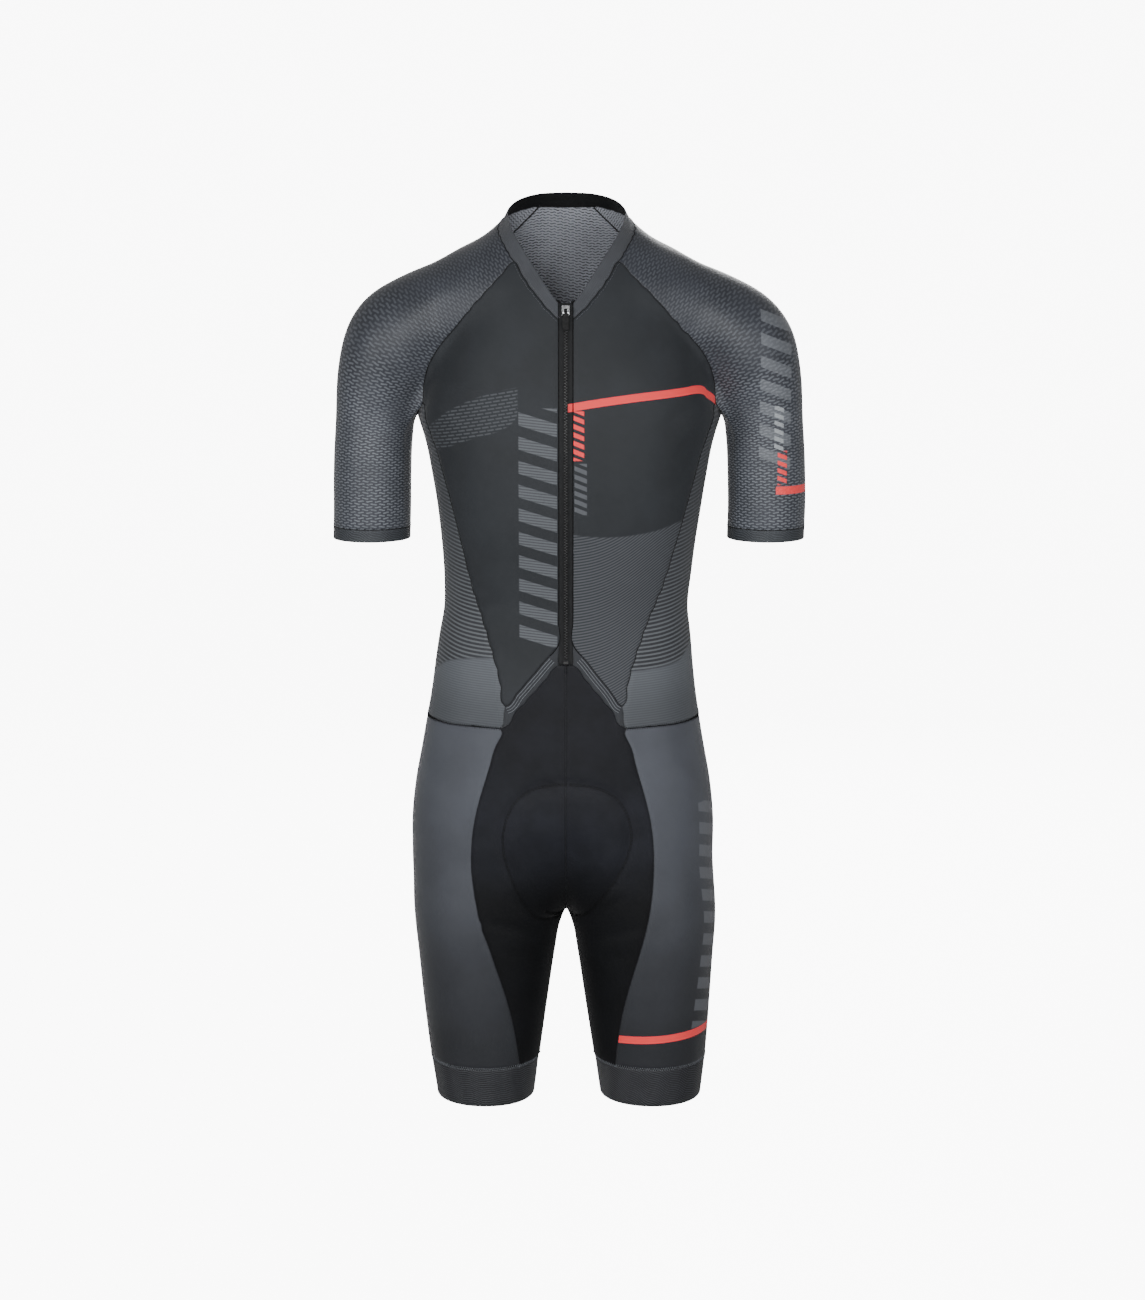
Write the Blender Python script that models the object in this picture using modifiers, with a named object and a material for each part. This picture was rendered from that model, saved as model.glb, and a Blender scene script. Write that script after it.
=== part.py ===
"""Short-sleeved one-piece racing suit in its worn, hollow form.

All sizes below are millimetres. X runs to the wearer's left, -Y is the front and +Z is up.
The origin lies between the two points where the neckband crosses the tops of the shoulders.
The panels lie on one smooth figure: a trunk, two arms and two legs, blended into each other.
"""

import math
from collections import namedtuple

import bpy
import numpy as np
from mathutils import Matrix, Vector

MM = 0.001
NAME = "skinsuit"

# ---------------------------------------------------------------- cloth
WALL = 1.2              # thickness of every cloth wall
SEAM_GAP = 0.3          # space between two pieces at a seam
MITRE_LIMIT = 3.0       # longest corner move, in half seam gaps

# ---------------------------------------------------------------- the figure
Section = namedtuple("Section", "height centre half_width front back squareness")
ArmStation = namedtuple("ArmStation", "station across height radius")
Sway = namedtuple("Sway", "height shift")

TRUNK = (
    Section(40, 0, 58, -50, 66, 2.0),
    Section(10, 0, 65, -54, 70, 2.0),
    Section(-10, 0, 82, -60, 75, 2.1),
    Section(-35, 0, 107, -68, 82, 2.2),
    Section(-65, 0, 126, -79, 90, 2.3),
    Section(-100, 0, 134, -92, 98, 2.3),
    Section(-150, 0, 147, -106, 107, 2.4),
    Section(-200, 0, 160, -114, 110, 2.4),
    Section(-240, 0, 152, -116, 108, 2.4),
    Section(-300, 0, 142, -112, 101, 2.4),
    Section(-370, 0, 134, -103, 90, 2.35),
    Section(-405, 0, 132, -99, 85, 2.3),
    Section(-440, 0, 136.5, -98, 85, 2.3),
    Section(-505, 0, 144.5, -101, 93, 2.3),
    Section(-560, 0, 154, -105, 108, 2.3),
    Section(-610, 0, 163, -106, 121, 2.35),
    Section(-660, 0, 167, -102, 126, 2.4),
    Section(-710, 0, 167, -94, 122, 2.4),
    Section(-760, 0, 167, -88, 110, 2.4),
)
LEG = (
    Section(-528, 62, 80, -100, 112, 2.3),
    Section(-600, 82, 80, -100, 116, 2.3),
    Section(-700, 84.5, 82, -93, 116, 2.3),
    Section(-755, 86.5, 81, -86, 100, 2.25),
    Section(-800, 88.5, 75.3, -80, 86, 2.2),
    Section(-850, 90.3, 69.6, -73, 74, 2.15),
    Section(-915, 92, 61.8, -65, 62, 2.1),
    Section(-965, 92.3, 55, -60, 57, 2.1),
    Section(-1000, 92, 52, -58, 55, 2.1),
)
ARM = (
    ArmStation(0, 100, -76, 47),
    ArmStation(1, 148, -99, 51.5),
    ArmStation(2, 183, -123, 54),
    ArmStation(3, 203, -165, 46.5),
    ArmStation(4, 210, -215, 41.8),
    ArmStation(5, 213, -275, 42),
    ArmStation(6, 213.5, -350, 41.8),
)
ARM_STEPS = 24          # short cones that make up an arm
ARM_DEPTH = 1.14        # an arm's depth for its width
ARM_MIDDLE = 2.0        # how far the arms lie behind the trunk's middle
ARM_REACH = 70.0        # distance below the arm's end where it still counts
FORK_TOP = -622.0       # height where the trunk starts to part into legs
FORK_BOTTOM = -766.0    # height where only the legs are left
LEG_BLEND = 10.0        # softness between the thighs
ARMPIT_BLEND = 14.0     # softness at the armpits
NECK_BLEND = 40.0       # softness between shoulder and neck
NECK_BLEND_TOP = -50.0
ARMPIT_BLEND_TOP = -150.0

# The stance leans a little to one side; the middle line stays straight.
STANCE = (
    Sway(35, 1.0),
    Sway(-50, 0.5),
    Sway(-110, 3.5),
    Sway(-300, 3.8),
    Sway(-370, 2.0),
    Sway(-405, 0.0),
    Sway(-470, -2.2),
    Sway(-540, -3.3),
    Sway(-690, -3.9),
    Sway(-760, -1.0),
    Sway(-850, 0.5),
    Sway(-950, 3.0),
)
SWAY_REACH = 90.0       # distance from the middle line where the lean is whole

# how points are brought onto the skin
FAR = 1000.0            # stands for out of reach
LONGEST_MOVE = 12.0     # of a point in one round
PROBE = 0.5             # step for measuring the slope
HALVINGS = 14           # of a ray's last stretch
FRONT_START = -95.0     # depths from which middle points move onto the skin
BACK_START = 110.0

# ---------------------------------------------------------------- seams
SeamPoint = namedtuple("SeamPoint", "across depth height")
NeckPoint = namedtuple("NeckPoint", "azimuth seam edge")

ZIP_HALF = 7.5          # half the width of the closed zip, over both tapes
ZIP_TOP = -80.0
HEM_UPPER_TOP = -437.0  # where the slanted hem's upper line leaves the zip
HEM_LOWER_TOP = -459.0
HEM_UPPER_END = SeamPoint(62, -94, -504)
WAIST = -528.0
LEG_SEAM = -917.0
LEG_EDGE = -961.5
SLEEVE_SEAM = -322.5
SLEEVE_EDGE = -336.0

NECK_MIDDLE = 8.0       # depth of the neck's own axis
RAGLAN_FRONT_AZIMUTH = 38.0
RAGLAN_BACK_AZIMUTH = 150.0
NECK = (                # azimuth from the front, seam with the panels, free edge
    NeckPoint(0, -101, -84),
    NeckPoint(6, -95, -78),
    NeckPoint(13, -84, -63.5),
    NeckPoint(24, -64, -42),
    NeckPoint(38, -38, -19.5),
    NeckPoint(54, -17, -2.5),
    NeckPoint(77, -0.5, 11),
    NeckPoint(98, 7, 18),
    NeckPoint(118, 12, 24.5),
    NeckPoint(150, 17, 31.5),
    NeckPoint(180, 16.5, 33),
)
RAGLAN_FRONT = (
    SeamPoint(86, -69, -72),
    SeamPoint(124, -57, -112),
    SeamPoint(146, -45, -140),
    SeamPoint(155, -36, -166),
    SeamPoint(157, -32, -187),
)
RAGLAN_BACK = (
    SeamPoint(60, 56, -5),
    SeamPoint(98, 62, -46),
    SeamPoint(131, 62, -100),
    SeamPoint(150, 50, -150),
    SeamPoint(157, 34, -187),
)
UNDERARM = (
    SeamPoint(163, -18, -194),
    SeamPoint(166, 1, -197),
    SeamPoint(163, 20, -194),
)
SIDE_FRONT = (
    SeamPoint(149, -54, -206),
    SeamPoint(137, -64, -252),
    SeamPoint(124, -70, -292),
    SeamPoint(117, -73, -320),
    SeamPoint(101, -77, -379),
    SeamPoint(80, -87, -434),
    SeamPoint(69, -91, -468),
)
SIDE_BACK = (
    SeamPoint(150, 52, -208),
    SeamPoint(143, 54, -260),
    SeamPoint(132, 56, -330),
    SeamPoint(122, 58, -400),
    SeamPoint(116, 66, -460),
    SeamPoint(112, 76, -528),
)
LEG_FRONT = (
    SeamPoint(80, -95, -578),
    SeamPoint(95, -91, -630),
    SeamPoint(99, -88, -676),
    SeamPoint(96, -87, -717),
    SeamPoint(85, -84, -767),
    SeamPoint(70, -76, -814),
    SeamPoint(59, -65, -858),
    SeamPoint(52, -52, -917),
)
LEG_BACK = (
    SeamPoint(80, 90, -528),
    SeamPoint(94, 104, -600),
    SeamPoint(104, 108, -680),
    SeamPoint(98, 98, -755),
    SeamPoint(81, 80, -815),
    SeamPoint(64, 64, -865),
    SeamPoint(54, 50, -917),
)
HEM_LOWER_ACROSS = 66.0     # where the slanted hem meets the waist seam
LEG_SPLIT = -745.0          # height on the leg seams level with the crotch
INNER_LEG_DROP = 12.0       # from the crotch to where the inner-leg seam runs on the leg
TILT = 6.0                  # height across a row of the shorts that makes it a slanted one
YOKE_HUB = 0.35             # how far up a shoulder section its rays start

# cells between the seams' samples
NECK_CELLS = 6
RAGLAN_LOW_CELLS = 5
YOKE_COLUMNS = 12
COLLAR_START = 7            # yoke column where the neckband turns into the collar
UNDERARM_CELLS = 6
SLEEVE_CELLS = 6
SIDE_CELLS = 12
HEM_CELLS = 5
FRONT_COLUMNS = 7
BACK_COLUMNS = 14
CROTCH_CELLS = 12
THIGH_CELLS = 8
INNER_COLUMNS = 6
OUTER_COLUMNS = 10
BAND_COLUMNS = 20
TAPE_CELLS = 18
DENSE = 41                  # points on a curve before it is divided evenly

SHOULDER_PIVOT = (140.0, -130.0)
NECK_RIDGE_AZIMUTH = 80.0
CUFF_RIDGE = (252.0, -194.0)
SEAT_PIVOT = (8.0, -640.0)  # depth and height inside the seat

# ---------------------------------------------------------------- seat pad
PadStation = namedtuple("PadStation", "along half_width thick")
PAD = (
    PadStation(0.00, 28, 3.0),
    PadStation(0.03, 50, 3.5),
    PadStation(0.12, 73, 4.5),
    PadStation(0.25, 66, 6.0),
    PadStation(0.38, 52, 7.0),
    PadStation(0.50, 42, 8.0),
    PadStation(0.62, 50, 9.0),
    PadStation(0.74, 76, 11.0),
    PadStation(0.86, 94, 11.0),
    PadStation(0.96, 84, 8.0),
    PadStation(1.00, 60, 5.0),
)
PAD_FRONT_TOP = -592.0
PAD_BACK_TOP = -628.0
PAD_CLEARANCE = 2.4         # from the cloth's smooth inner face to the pad
PAD_EDGE = 2.0              # thickness along the pad's edge
PAD_STATIONS = 20
PAD_COLUMNS = 4             # on each side of the middle
PAD_STRIDE = 5.0

# ---------------------------------------------------------------- zip
CHAIN_HALF = 2.4
CHAIN_LIFT = 0.3
CHAIN_THICK = 1.3
SLIDER_HEIGHT = -88.5       # height of the slider's middle
SLIDER_LENGTH = 11.0
SLIDER_WIDTH = 8.4
SLIDER_THICK = 3.0
SLIDER_SEAT = 0.5
LUG_WIDTH = 1.1
LUG_SPREAD = 2.5            # middle of each lug, from the middle line
LUG_LENGTH = 4.0
LUG_HEIGHT = 3.6
LUG_SUNK = 1.0              # how deep the lugs reach into the slider
PIN_DOWN = 0.8              # pin's place below the slider's middle
PIN_RADIUS = 0.65
PIN_OUT = 2.3               # pin's height over the slider's face
EYE_RADIUS = 1.75
EYE_BORE = 0.95
EYE_WIDTH = 3.2
EYE_SIDES = 20
NECK_SIZE = (3.0, 3.6, 1.2) # of the bar between the eye and the tab
TAB_DROP = 1.9              # from the eye's edge to the tab
PULL_LENGTH = 19.0
PULL_WIDTH = 7.0
PULL_THICK = 1.3
PULL_LEAN = math.radians(8.5)   # towards the cloth, so that the tab rests on the chain
STOP_SIZE = (5.2, 3.2, 1.8) # across, up and thick
SLIDER_ROUNDING = 0.7
PULL_ROUNDING = 0.5
STOP_ROUNDING = 0.4
CHAIN_TOP = -96.0
CHAIN_BOTTOM = -453.0
STOP_HEIGHT = -456.2

# ---------------------------------------------------------------- colours
Finish = namedtuple("Finish", "colour roughness metallic")
FINISHES = {
    "front_jersey": Finish((0.030, 0.033, 0.037), 0.62, 0.0),
    "open_knit": Finish((0.085, 0.092, 0.102), 0.72, 0.0),
    "side_jersey": Finish((0.070, 0.075, 0.082), 0.66, 0.0),
    "black_jersey": Finish((0.010, 0.011, 0.012), 0.55, 0.0),
    "thigh_jersey": Finish((0.055, 0.060, 0.067), 0.60, 0.0),
    "leg_elastic": Finish((0.040, 0.043, 0.048), 0.58, 0.0),
    "binding": Finish((0.060, 0.064, 0.070), 0.64, 0.0),
    "collar_cloth": Finish((0.008, 0.008, 0.009), 0.60, 0.0),
    "zip_tape": Finish((0.010, 0.010, 0.011), 0.70, 0.0),
    "zip_teeth": Finish((0.020, 0.020, 0.022), 0.40, 0.0),
    "slider_metal": Finish((0.620, 0.630, 0.640), 0.28, 1.0),
    "pull_plastic": Finish((0.012, 0.012, 0.013), 0.42, 0.0),
    "pad_foam": Finish((0.640, 0.012, 0.035), 0.80, 0.0),
}


# ================================================================ curves
def ease_through(keys, values, at):
    """Smooth curve through the values that never swings past them."""
    keys = np.asarray(keys, float)
    values = np.asarray(values, float)
    if keys[0] > keys[-1]:
        keys = keys[::-1]
        values = values[::-1]
    gaps = np.diff(keys)
    rise = np.diff(values) / gaps
    slope = np.empty_like(values)
    slope[0] = rise[0]
    slope[-1] = rise[-1]
    slope[1:-1] = (rise[:-1] * gaps[1:] + rise[1:] * gaps[:-1]) / (gaps[1:] + gaps[:-1])
    slope[1:-1][rise[:-1] * rise[1:] <= 0] = 0
    at = np.clip(at, keys[0], keys[-1])
    i = np.clip(np.searchsorted(keys, at) - 1, 0, len(keys) - 2)
    gap = gaps[i]
    t = (at - keys[i]) / gap
    ends = values[i] * (1 + 2 * t) * (1 - t) ** 2 + values[i + 1] * t * t * (3 - 2 * t)
    return ends + gap * t * (1 - t) * (slope[i] * (1 - t) - slope[i + 1] * t)


def read(table, field, at):
    """One column of a table as a smooth function of its first column."""
    return ease_through([row[0] for row in table], [getattr(row, field) for row in table], at)


def smooth_step(low, high, value):
    t = np.clip((value - low) / (high - low), 0, 1)
    return t * t * (3 - 2 * t)


def divide(points, cells):
    """The curve through the points, cut into stretches of equal length."""
    steps = np.linalg.norm(np.diff(points, axis=0), axis=1)
    run = np.concatenate([[0], np.cumsum(steps)])
    at = np.linspace(0, run[-1], cells + 1)
    return np.stack([np.interp(at, run, points[:, k]) for k in range(3)], axis=1)


def dense_curve(points):
    """A smooth curve through a few points."""
    points = np.asarray(points, float)
    steps = np.linalg.norm(np.diff(points, axis=0), axis=1)
    run = np.concatenate([[0], np.cumsum(steps)])
    at = np.linspace(0, run[-1], DENSE)
    return np.stack([ease_through(run, points[:, k], at) for k in range(3)], axis=1)


# ================================================================ the figure
def soft_union(a, b, softness):
    mix = np.clip(0.5 + 0.5 * (b - a) / softness, 0, 1)
    return b + (a - b) * mix - softness * mix * (1 - mix)


def section_distance(x, y, table, z):
    """Distance outside a flat rounded section, along the line from its middle."""
    front = read(table, "front", z)
    back = read(table, "back", z)
    power = read(table, "squareness", z)
    y = y - (front + back) / 2
    reach = np.hypot(x, y) + 1e-6
    across = (np.abs(x) / read(table, "half_width", z)) ** power
    deep = (np.abs(y) / ((back - front) / 2)) ** power
    return reach - reach / ((across + deep) ** (1 / power) + 1e-9)


def arm_stations():
    at = np.linspace(0, ARM[-1].station, ARM_STEPS + 1)
    return np.stack([read(ARM, field, at) for field in ("across", "height", "radius")], axis=1)


ARM_LINE = arm_stations()


def arm_distance(x, y, z):
    """Distance outside the arm; far below it the arm is out of reach."""
    away = np.full(np.shape(x), FAR)
    near = z > ARM_LINE[-1][1] - ARM_REACH
    away[near] = nearest_cone(x[near], (y[near] - ARM_MIDDLE) / ARM_DEPTH, z[near])
    return away


def nearest_cone(x, y, z):
    nearest = np.full(np.shape(x), FAR)
    for start, end in zip(ARM_LINE[:-1], ARM_LINE[1:]):
        step_x, step_z, growth = end - start
        along = ((x - start[0]) * step_x + (z - start[1]) * step_z) / (step_x ** 2 + step_z ** 2)
        along = np.clip(along, 0, 1)
        off_x = x - start[0] - along * step_x
        off_z = z - start[1] - along * step_z
        away = np.sqrt(off_x ** 2 + y ** 2 + off_z ** 2) - start[2] - along * growth
        nearest = np.minimum(nearest, away)
    return nearest


def figure(points):
    """Below zero inside the figure, zero on its skin."""
    x = np.abs(points[..., 0])
    y = points[..., 1]
    z = points[..., 2]
    trunk = section_distance(x, y, TRUNK, z)
    centre = read(LEG, "centre", z)
    near_leg = section_distance(x - centre, y, LEG, z)
    far_leg = section_distance(x + centre, y, LEG, z)
    legs = soft_union(near_leg, far_leg, LEG_BLEND)
    parted = smooth_step(-FORK_TOP, -FORK_BOTTOM, -z)
    lower = trunk * (1 - parted) + legs * parted
    rise = smooth_step(ARMPIT_BLEND_TOP, NECK_BLEND_TOP, z)
    softness = ARMPIT_BLEND + (NECK_BLEND - ARMPIT_BLEND) * rise
    return soft_union(lower, arm_distance(x, y, z), softness)


def uphill(points):
    """Direction in which the figure's distance grows."""
    sides = []
    for axis in range(3):
        shift = np.zeros(3)
        shift[axis] = PROBE
        sides.append((figure(points + shift) - figure(points - shift)) / (2 * PROBE))
    return np.stack(sides, axis=-1)


def normals(points):
    slope = uphill(points)
    return slope / np.linalg.norm(slope, axis=-1, keepdims=True)


ANY_WAY = (1, 1, 1)
LEVEL = (1, 1, 0)
DEPTH_ONLY = (0, 1, 0)


def settle(points, ways=ANY_WAY, rounds=9):
    """Moves points onto the figure's skin, in the given directions only."""
    points = np.array(points, float)
    for _ in range(rounds):
        slope = uphill(points) * np.array(ways)
        size = np.sum(slope ** 2, axis=-1, keepdims=True) + 1e-9
        move = -figure(points)[..., None] * slope / size
        length = np.linalg.norm(move, axis=-1, keepdims=True) + 1e-9
        points += move * np.minimum(1, LONGEST_MOVE / length)
    return points


def shoot(start, direction, reach=260.0, steps=90):
    """First place where rays from inside leave the figure."""
    start = np.asarray(start, float)
    direction = direction / np.linalg.norm(direction, axis=-1, keepdims=True)
    at = np.linspace(0, reach, steps)
    line = start[..., None, :] + at[:, None] * direction[..., None, :]
    outside = figure(line) > 0
    first = np.argmax(outside, axis=-1)
    low = at[np.maximum(first - 1, 0)]
    high = at[first]
    for _ in range(HALVINGS):
        middle = (low + high) / 2
        out = figure(start + middle[..., None] * direction) > 0
        high = np.where(out, middle, high)
        low = np.where(out, low, middle)
    return start + high[..., None] * direction


# ================================================================ seam lines
def seam(points, cells, ways=ANY_WAY):
    """A seam through a few rough points, settled on the figure and divided evenly."""
    line = settle(dense_curve(points), ways)
    inner = settle(divide(line, cells), ways)
    inner[0] = line[0]
    inner[-1] = line[-1]
    return inner


def neck_line(field, azimuths):
    heights = read(NECK, field, azimuths)
    turn = np.radians(azimuths)
    start = np.stack([np.zeros_like(turn), np.full_like(turn, NECK_MIDDLE), heights], axis=1)
    direction = np.stack([np.sin(turn), -np.cos(turn), np.zeros_like(turn)], axis=1)
    return shoot(start, direction, reach=160.0)


def azimuths_between(first, last, cells):
    """Azimuths that divide the neck seam evenly between two of them."""
    dense = np.linspace(first, last, DENSE)
    line = neck_line("seam", dense)
    steps = np.linalg.norm(np.diff(line, axis=0), axis=1)
    run = np.concatenate([[0], np.cumsum(steps)])
    return np.interp(np.linspace(0, run[-1], cells + 1), run, dense)


def zip_azimuth():
    """Azimuth at which the neck seam reaches the zip's side."""
    dense = np.linspace(0.5, 20, DENSE)
    across = neck_line("seam", dense)[:, 0]
    return float(np.interp(ZIP_HALF, across, dense))


def front_line(start, end, cells):
    """A straight line as seen from the front, laid on the figure."""
    depth = np.full(cells + 1, FRONT_START)
    across = np.linspace(start[0], end[0], cells + 1)
    height = np.linspace(start[1], end[1], cells + 1)
    return settle(np.stack([across, depth, height], axis=1), DEPTH_ONLY)


def middle_line(first, last, depth):
    """The middle line between two heights, in front or at the back."""
    height = np.linspace(first, last, DENSE)
    points = np.stack([np.zeros(DENSE), np.full(DENSE, depth), height], axis=1)
    return settle(points, DEPTH_ONLY)


def seat_curve():
    """The middle line under the seat, from the front round to the back."""
    depth, height = SEAT_PIVOT
    turn = np.linspace(0, math.pi, 4 * DENSE)
    start = np.tile((0.0, depth, height), (len(turn), 1))
    direction = np.stack([np.zeros_like(turn), -np.cos(turn), -np.sin(turn)], axis=1)
    return shoot(start, direction)


def inner_leg_line(start):
    """The inner-leg seam, from the crotch down to the leg band."""
    height = np.linspace(start[2] - INNER_LEG_DROP, LEG_SEAM, DENSE)
    across = read(LEG, "centre", height) - read(LEG, "half_width", height)
    depth = leg_middle(height)
    points = settle(np.stack([across, depth, height], axis=1), (1, 0, 0))
    line = divide(np.concatenate([[start], points]), THIGH_CELLS)
    line[-1] = points[-1]
    return line


def leg_middle(z):
    return (read(LEG, "front", z) + read(LEG, "back", z)) / 2


def trunk_centre(z):
    middle = (read(TRUNK, "front", z) + read(TRUNK, "back", z)) / 2
    return np.zeros_like(z), middle


def leg_centre(z):
    return read(LEG, "centre", z), leg_middle(z)


def seam_lines():
    """Every seam on the wearer's left, as rows of shared sample points."""
    lines = {}
    at_zip = azimuths_between(zip_azimuth(), RAGLAN_FRONT_AZIMUTH, NECK_CELLS)
    at_yoke = azimuths_between(RAGLAN_FRONT_AZIMUTH, RAGLAN_BACK_AZIMUTH, YOKE_COLUMNS)
    at_back = azimuths_between(RAGLAN_BACK_AZIMUTH, 180.0, BACK_COLUMNS // 2)
    lines["azimuths"] = np.concatenate([at_zip, at_yoke[1:], at_back[1:]])
    lines["neck"] = neck_line("seam", lines["azimuths"])
    lines["neck_edge"] = neck_line("edge", lines["azimuths"])
    lines["neck"][0][0] = ZIP_HALF
    lines["neck_edge"][0][0] = ZIP_HALF
    corner_front = lines["neck"][NECK_CELLS]
    corner_back = lines["neck"][NECK_CELLS + YOKE_COLUMNS]
    raglan_cells = NECK_CELLS + RAGLAN_LOW_CELLS
    lines["raglan_front"] = seam((corner_front,) + RAGLAN_FRONT, raglan_cells)
    lines["raglan_back"] = seam((corner_back,) + RAGLAN_BACK, raglan_cells)
    pit_front = lines["raglan_front"][-1]
    pit_back = lines["raglan_back"][-1]
    lines["underarm"] = seam((pit_front,) + UNDERARM + (pit_back,), UNDERARM_CELLS)

    zip_foot = (ZIP_HALF, HEM_UPPER_TOP)
    hem_end = (HEM_UPPER_END.across, HEM_UPPER_END.height)
    lines["hem_upper"] = front_line(zip_foot, hem_end, HEM_CELLS)
    low_end = (HEM_LOWER_ACROSS, WAIST)
    lines["hem_lower"] = front_line((ZIP_HALF, HEM_LOWER_TOP), low_end, HEM_CELLS)
    hem_corner = lines["hem_upper"][-1]
    waist_corner = lines["hem_lower"][-1]
    side = seam((pit_front,) + SIDE_FRONT + (hem_corner,), SIDE_CELLS + HEM_CELLS)
    lines["side_front"] = np.concatenate([side, [waist_corner]])
    lines["side_back"] = seam((pit_back,) + SIDE_BACK, SIDE_CELLS + HEM_CELLS + 1)
    lines["side_back"][-1] = settle(lines["side_back"][-1], LEVEL)
    lines["side_back"][-1][2] = WAIST

    lines["leg_front"] = leg_seam((waist_corner,) + LEG_FRONT)
    lines["leg_back"] = leg_seam(LEG_BACK)
    seat = seat_curve()
    lowest = int(np.argmin(seat[:, 2]))
    front = middle_line(WAIST, SEAT_PIVOT[1], FRONT_START)
    back = middle_line(WAIST, SEAT_PIVOT[1], BACK_START)
    to_crotch = np.concatenate([front[:-1], seat[:lowest + 1]])
    from_back = np.concatenate([back[:-1], seat[::-1][:len(seat) - lowest]])
    lines["middle_front"] = divide(to_crotch, CROTCH_CELLS)
    lines["middle_back"] = divide(from_back, CROTCH_CELLS)
    lines["inner_leg"] = inner_leg_line(seat[lowest])
    lines["placket_foot"] = divide(middle_line(HEM_LOWER_TOP, WAIST, FRONT_START), HEM_CELLS)
    lines["seat"] = np.concatenate([front[:-1], seat, back[::-1][1:]])
    return lines


def leg_seam(points):
    """A seam down the thigh, with one sample level with the crotch."""
    line = settle(dense_curve(points), LEVEL)
    line[0][2] = WAIST
    line[-1][2] = LEG_SEAM
    line = settle(line, LEVEL)
    split = int(np.argmin(np.abs(line[:, 2] - LEG_SPLIT)))
    upper = divide(line[:split + 1], CROTCH_CELLS)
    lower = divide(line[split:], THIGH_CELLS)
    return np.concatenate([upper, lower[1:]])


# ================================================================ panels
def span(first, last, columns, centre, ways=LEVEL):
    """Rows across a panel, from one seam to the other round the given centre line."""
    share = np.linspace(0, 1, DENSE)[None, :]
    height = first[:, 2:3] + (last[:, 2:3] - first[:, 2:3]) * share
    turn_a, reach_a = polar(first, centre)
    turn_b, reach_b = polar(last, centre)
    turn_b = np.where(turn_b < turn_a, turn_b + 2 * math.pi, turn_b)
    turn = turn_a[:, None] + (turn_b - turn_a)[:, None] * share
    reach = reach_a[:, None] + (reach_b - reach_a)[:, None] * share
    centre_x, centre_y = centre(height)
    x = centre_x + reach * np.sin(turn)
    y = centre_y - reach * np.cos(turn)
    rows = settle(np.stack([x, y, height], axis=-1), ways)
    rows[:, 0] = first
    rows[:, -1] = last
    even = np.stack([divide(row, columns) for row in rows])
    settled = settle(even, ways)
    settled[:, 0] = first
    settled[:, -1] = last
    return settled


def polar(points, centre):
    centre_x, centre_y = centre(points[:, 2])
    x = points[:, 0] - centre_x
    y = points[:, 1] - centre_y
    return np.arctan2(x, -y), np.hypot(x, y)


def mirrored(points):
    return points * np.array((-1, 1, 1))


def front_panel(lines):
    neck = lines["neck"][:NECK_CELLS + 1][::-1]
    height = np.linspace(neck[-1][2], HEM_UPPER_TOP, RAGLAN_LOW_CELLS + SIDE_CELLS + 1)
    start = np.stack([np.full_like(height, ZIP_HALF), np.full_like(height, FRONT_START), height], axis=1)
    zip_side = settle(start, DEPTH_ONLY)
    inner = np.concatenate([neck, zip_side[1:], lines["hem_upper"][1:]])
    outer = np.concatenate([lines["raglan_front"], lines["side_front"][1:-1]])
    return [Patch(span(inner, outer, FRONT_COLUMNS, trunk_centre), False)]


def front_hem(lines):
    return [Patch(np.stack([lines["hem_upper"], lines["hem_lower"]]), False)]


def side_panel(lines):
    rows = span(lines["side_front"], lines["side_back"], UNDERARM_CELLS, trunk_centre)
    rows[0] = lines["underarm"]
    return [Patch(rows, False)]


def back_panel(lines):
    left = np.concatenate([lines["raglan_back"], lines["side_back"][1:]])
    rows = span(left, mirrored(left), BACK_COLUMNS, trunk_centre)
    half = lines["neck"][NECK_CELLS + YOKE_COLUMNS:]
    rows[0] = np.concatenate([half, mirrored(half[:-1])[::-1]])
    return [Patch(rows, False)]


def shoulder_ridge(cells):
    """The line over the shoulder, from the neck to the outside of the arm."""
    start = neck_line("seam", np.array([NECK_RIDGE_AZIMUTH]))[0]
    across, height = SHOULDER_PIVOT
    first = math.atan2(start[0] - across, start[2] - height)
    last = math.atan2(CUFF_RIDGE[0] - across, CUFF_RIDGE[1] - height)
    turn = np.linspace(first, last, 2 * DENSE)
    middle = np.tile((across, ARM_MIDDLE, height), (len(turn), 1))
    direction = np.stack([np.sin(turn), np.zeros_like(turn), np.cos(turn)], axis=1)
    return divide(shoot(middle, direction), cells)


def yoke_row(front, top, back, columns):
    """One row over the shoulder, in the plane through three points of the skin."""
    middle = (front + back) / 2
    up = (top - middle) / np.linalg.norm(top - middle)
    hub = middle + YOKE_HUB * (top - middle)
    along = back - front
    along = along - np.dot(along, up) * up
    along = along / np.linalg.norm(along)
    turn_a = math.atan2(np.dot(front - hub, along), np.dot(front - hub, up))
    turn_b = math.atan2(np.dot(back - hub, along), np.dot(back - hub, up))
    turn = np.linspace(turn_a, turn_b, DENSE)[:, None]
    direction = np.cos(turn) * up + np.sin(turn) * along
    line = shoot(np.tile(hub, (DENSE, 1)), direction)
    line[0] = front
    line[-1] = back
    row = settle(divide(line, columns))
    row[0] = front
    row[-1] = back
    return row


def arm_axis(height):
    return np.interp(-height, -ARM_LINE[:, 1], ARM_LINE[:, 0])


def sleeve_rings(first, heights):
    """Level rings down the arm whose points keep the first ring's directions."""
    x = first[:, 0] - arm_axis(first[:, 2])
    y = first[:, 1] - ARM_MIDDLE
    direction = np.stack([x, y, np.zeros_like(x)], axis=1)
    rings = []
    for height in heights:
        hub = np.tile((float(arm_axis(np.array(height))), ARM_MIDDLE, height), (len(first), 1))
        rings.append(shoot(hub, direction, reach=90.0))
    return rings


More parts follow.
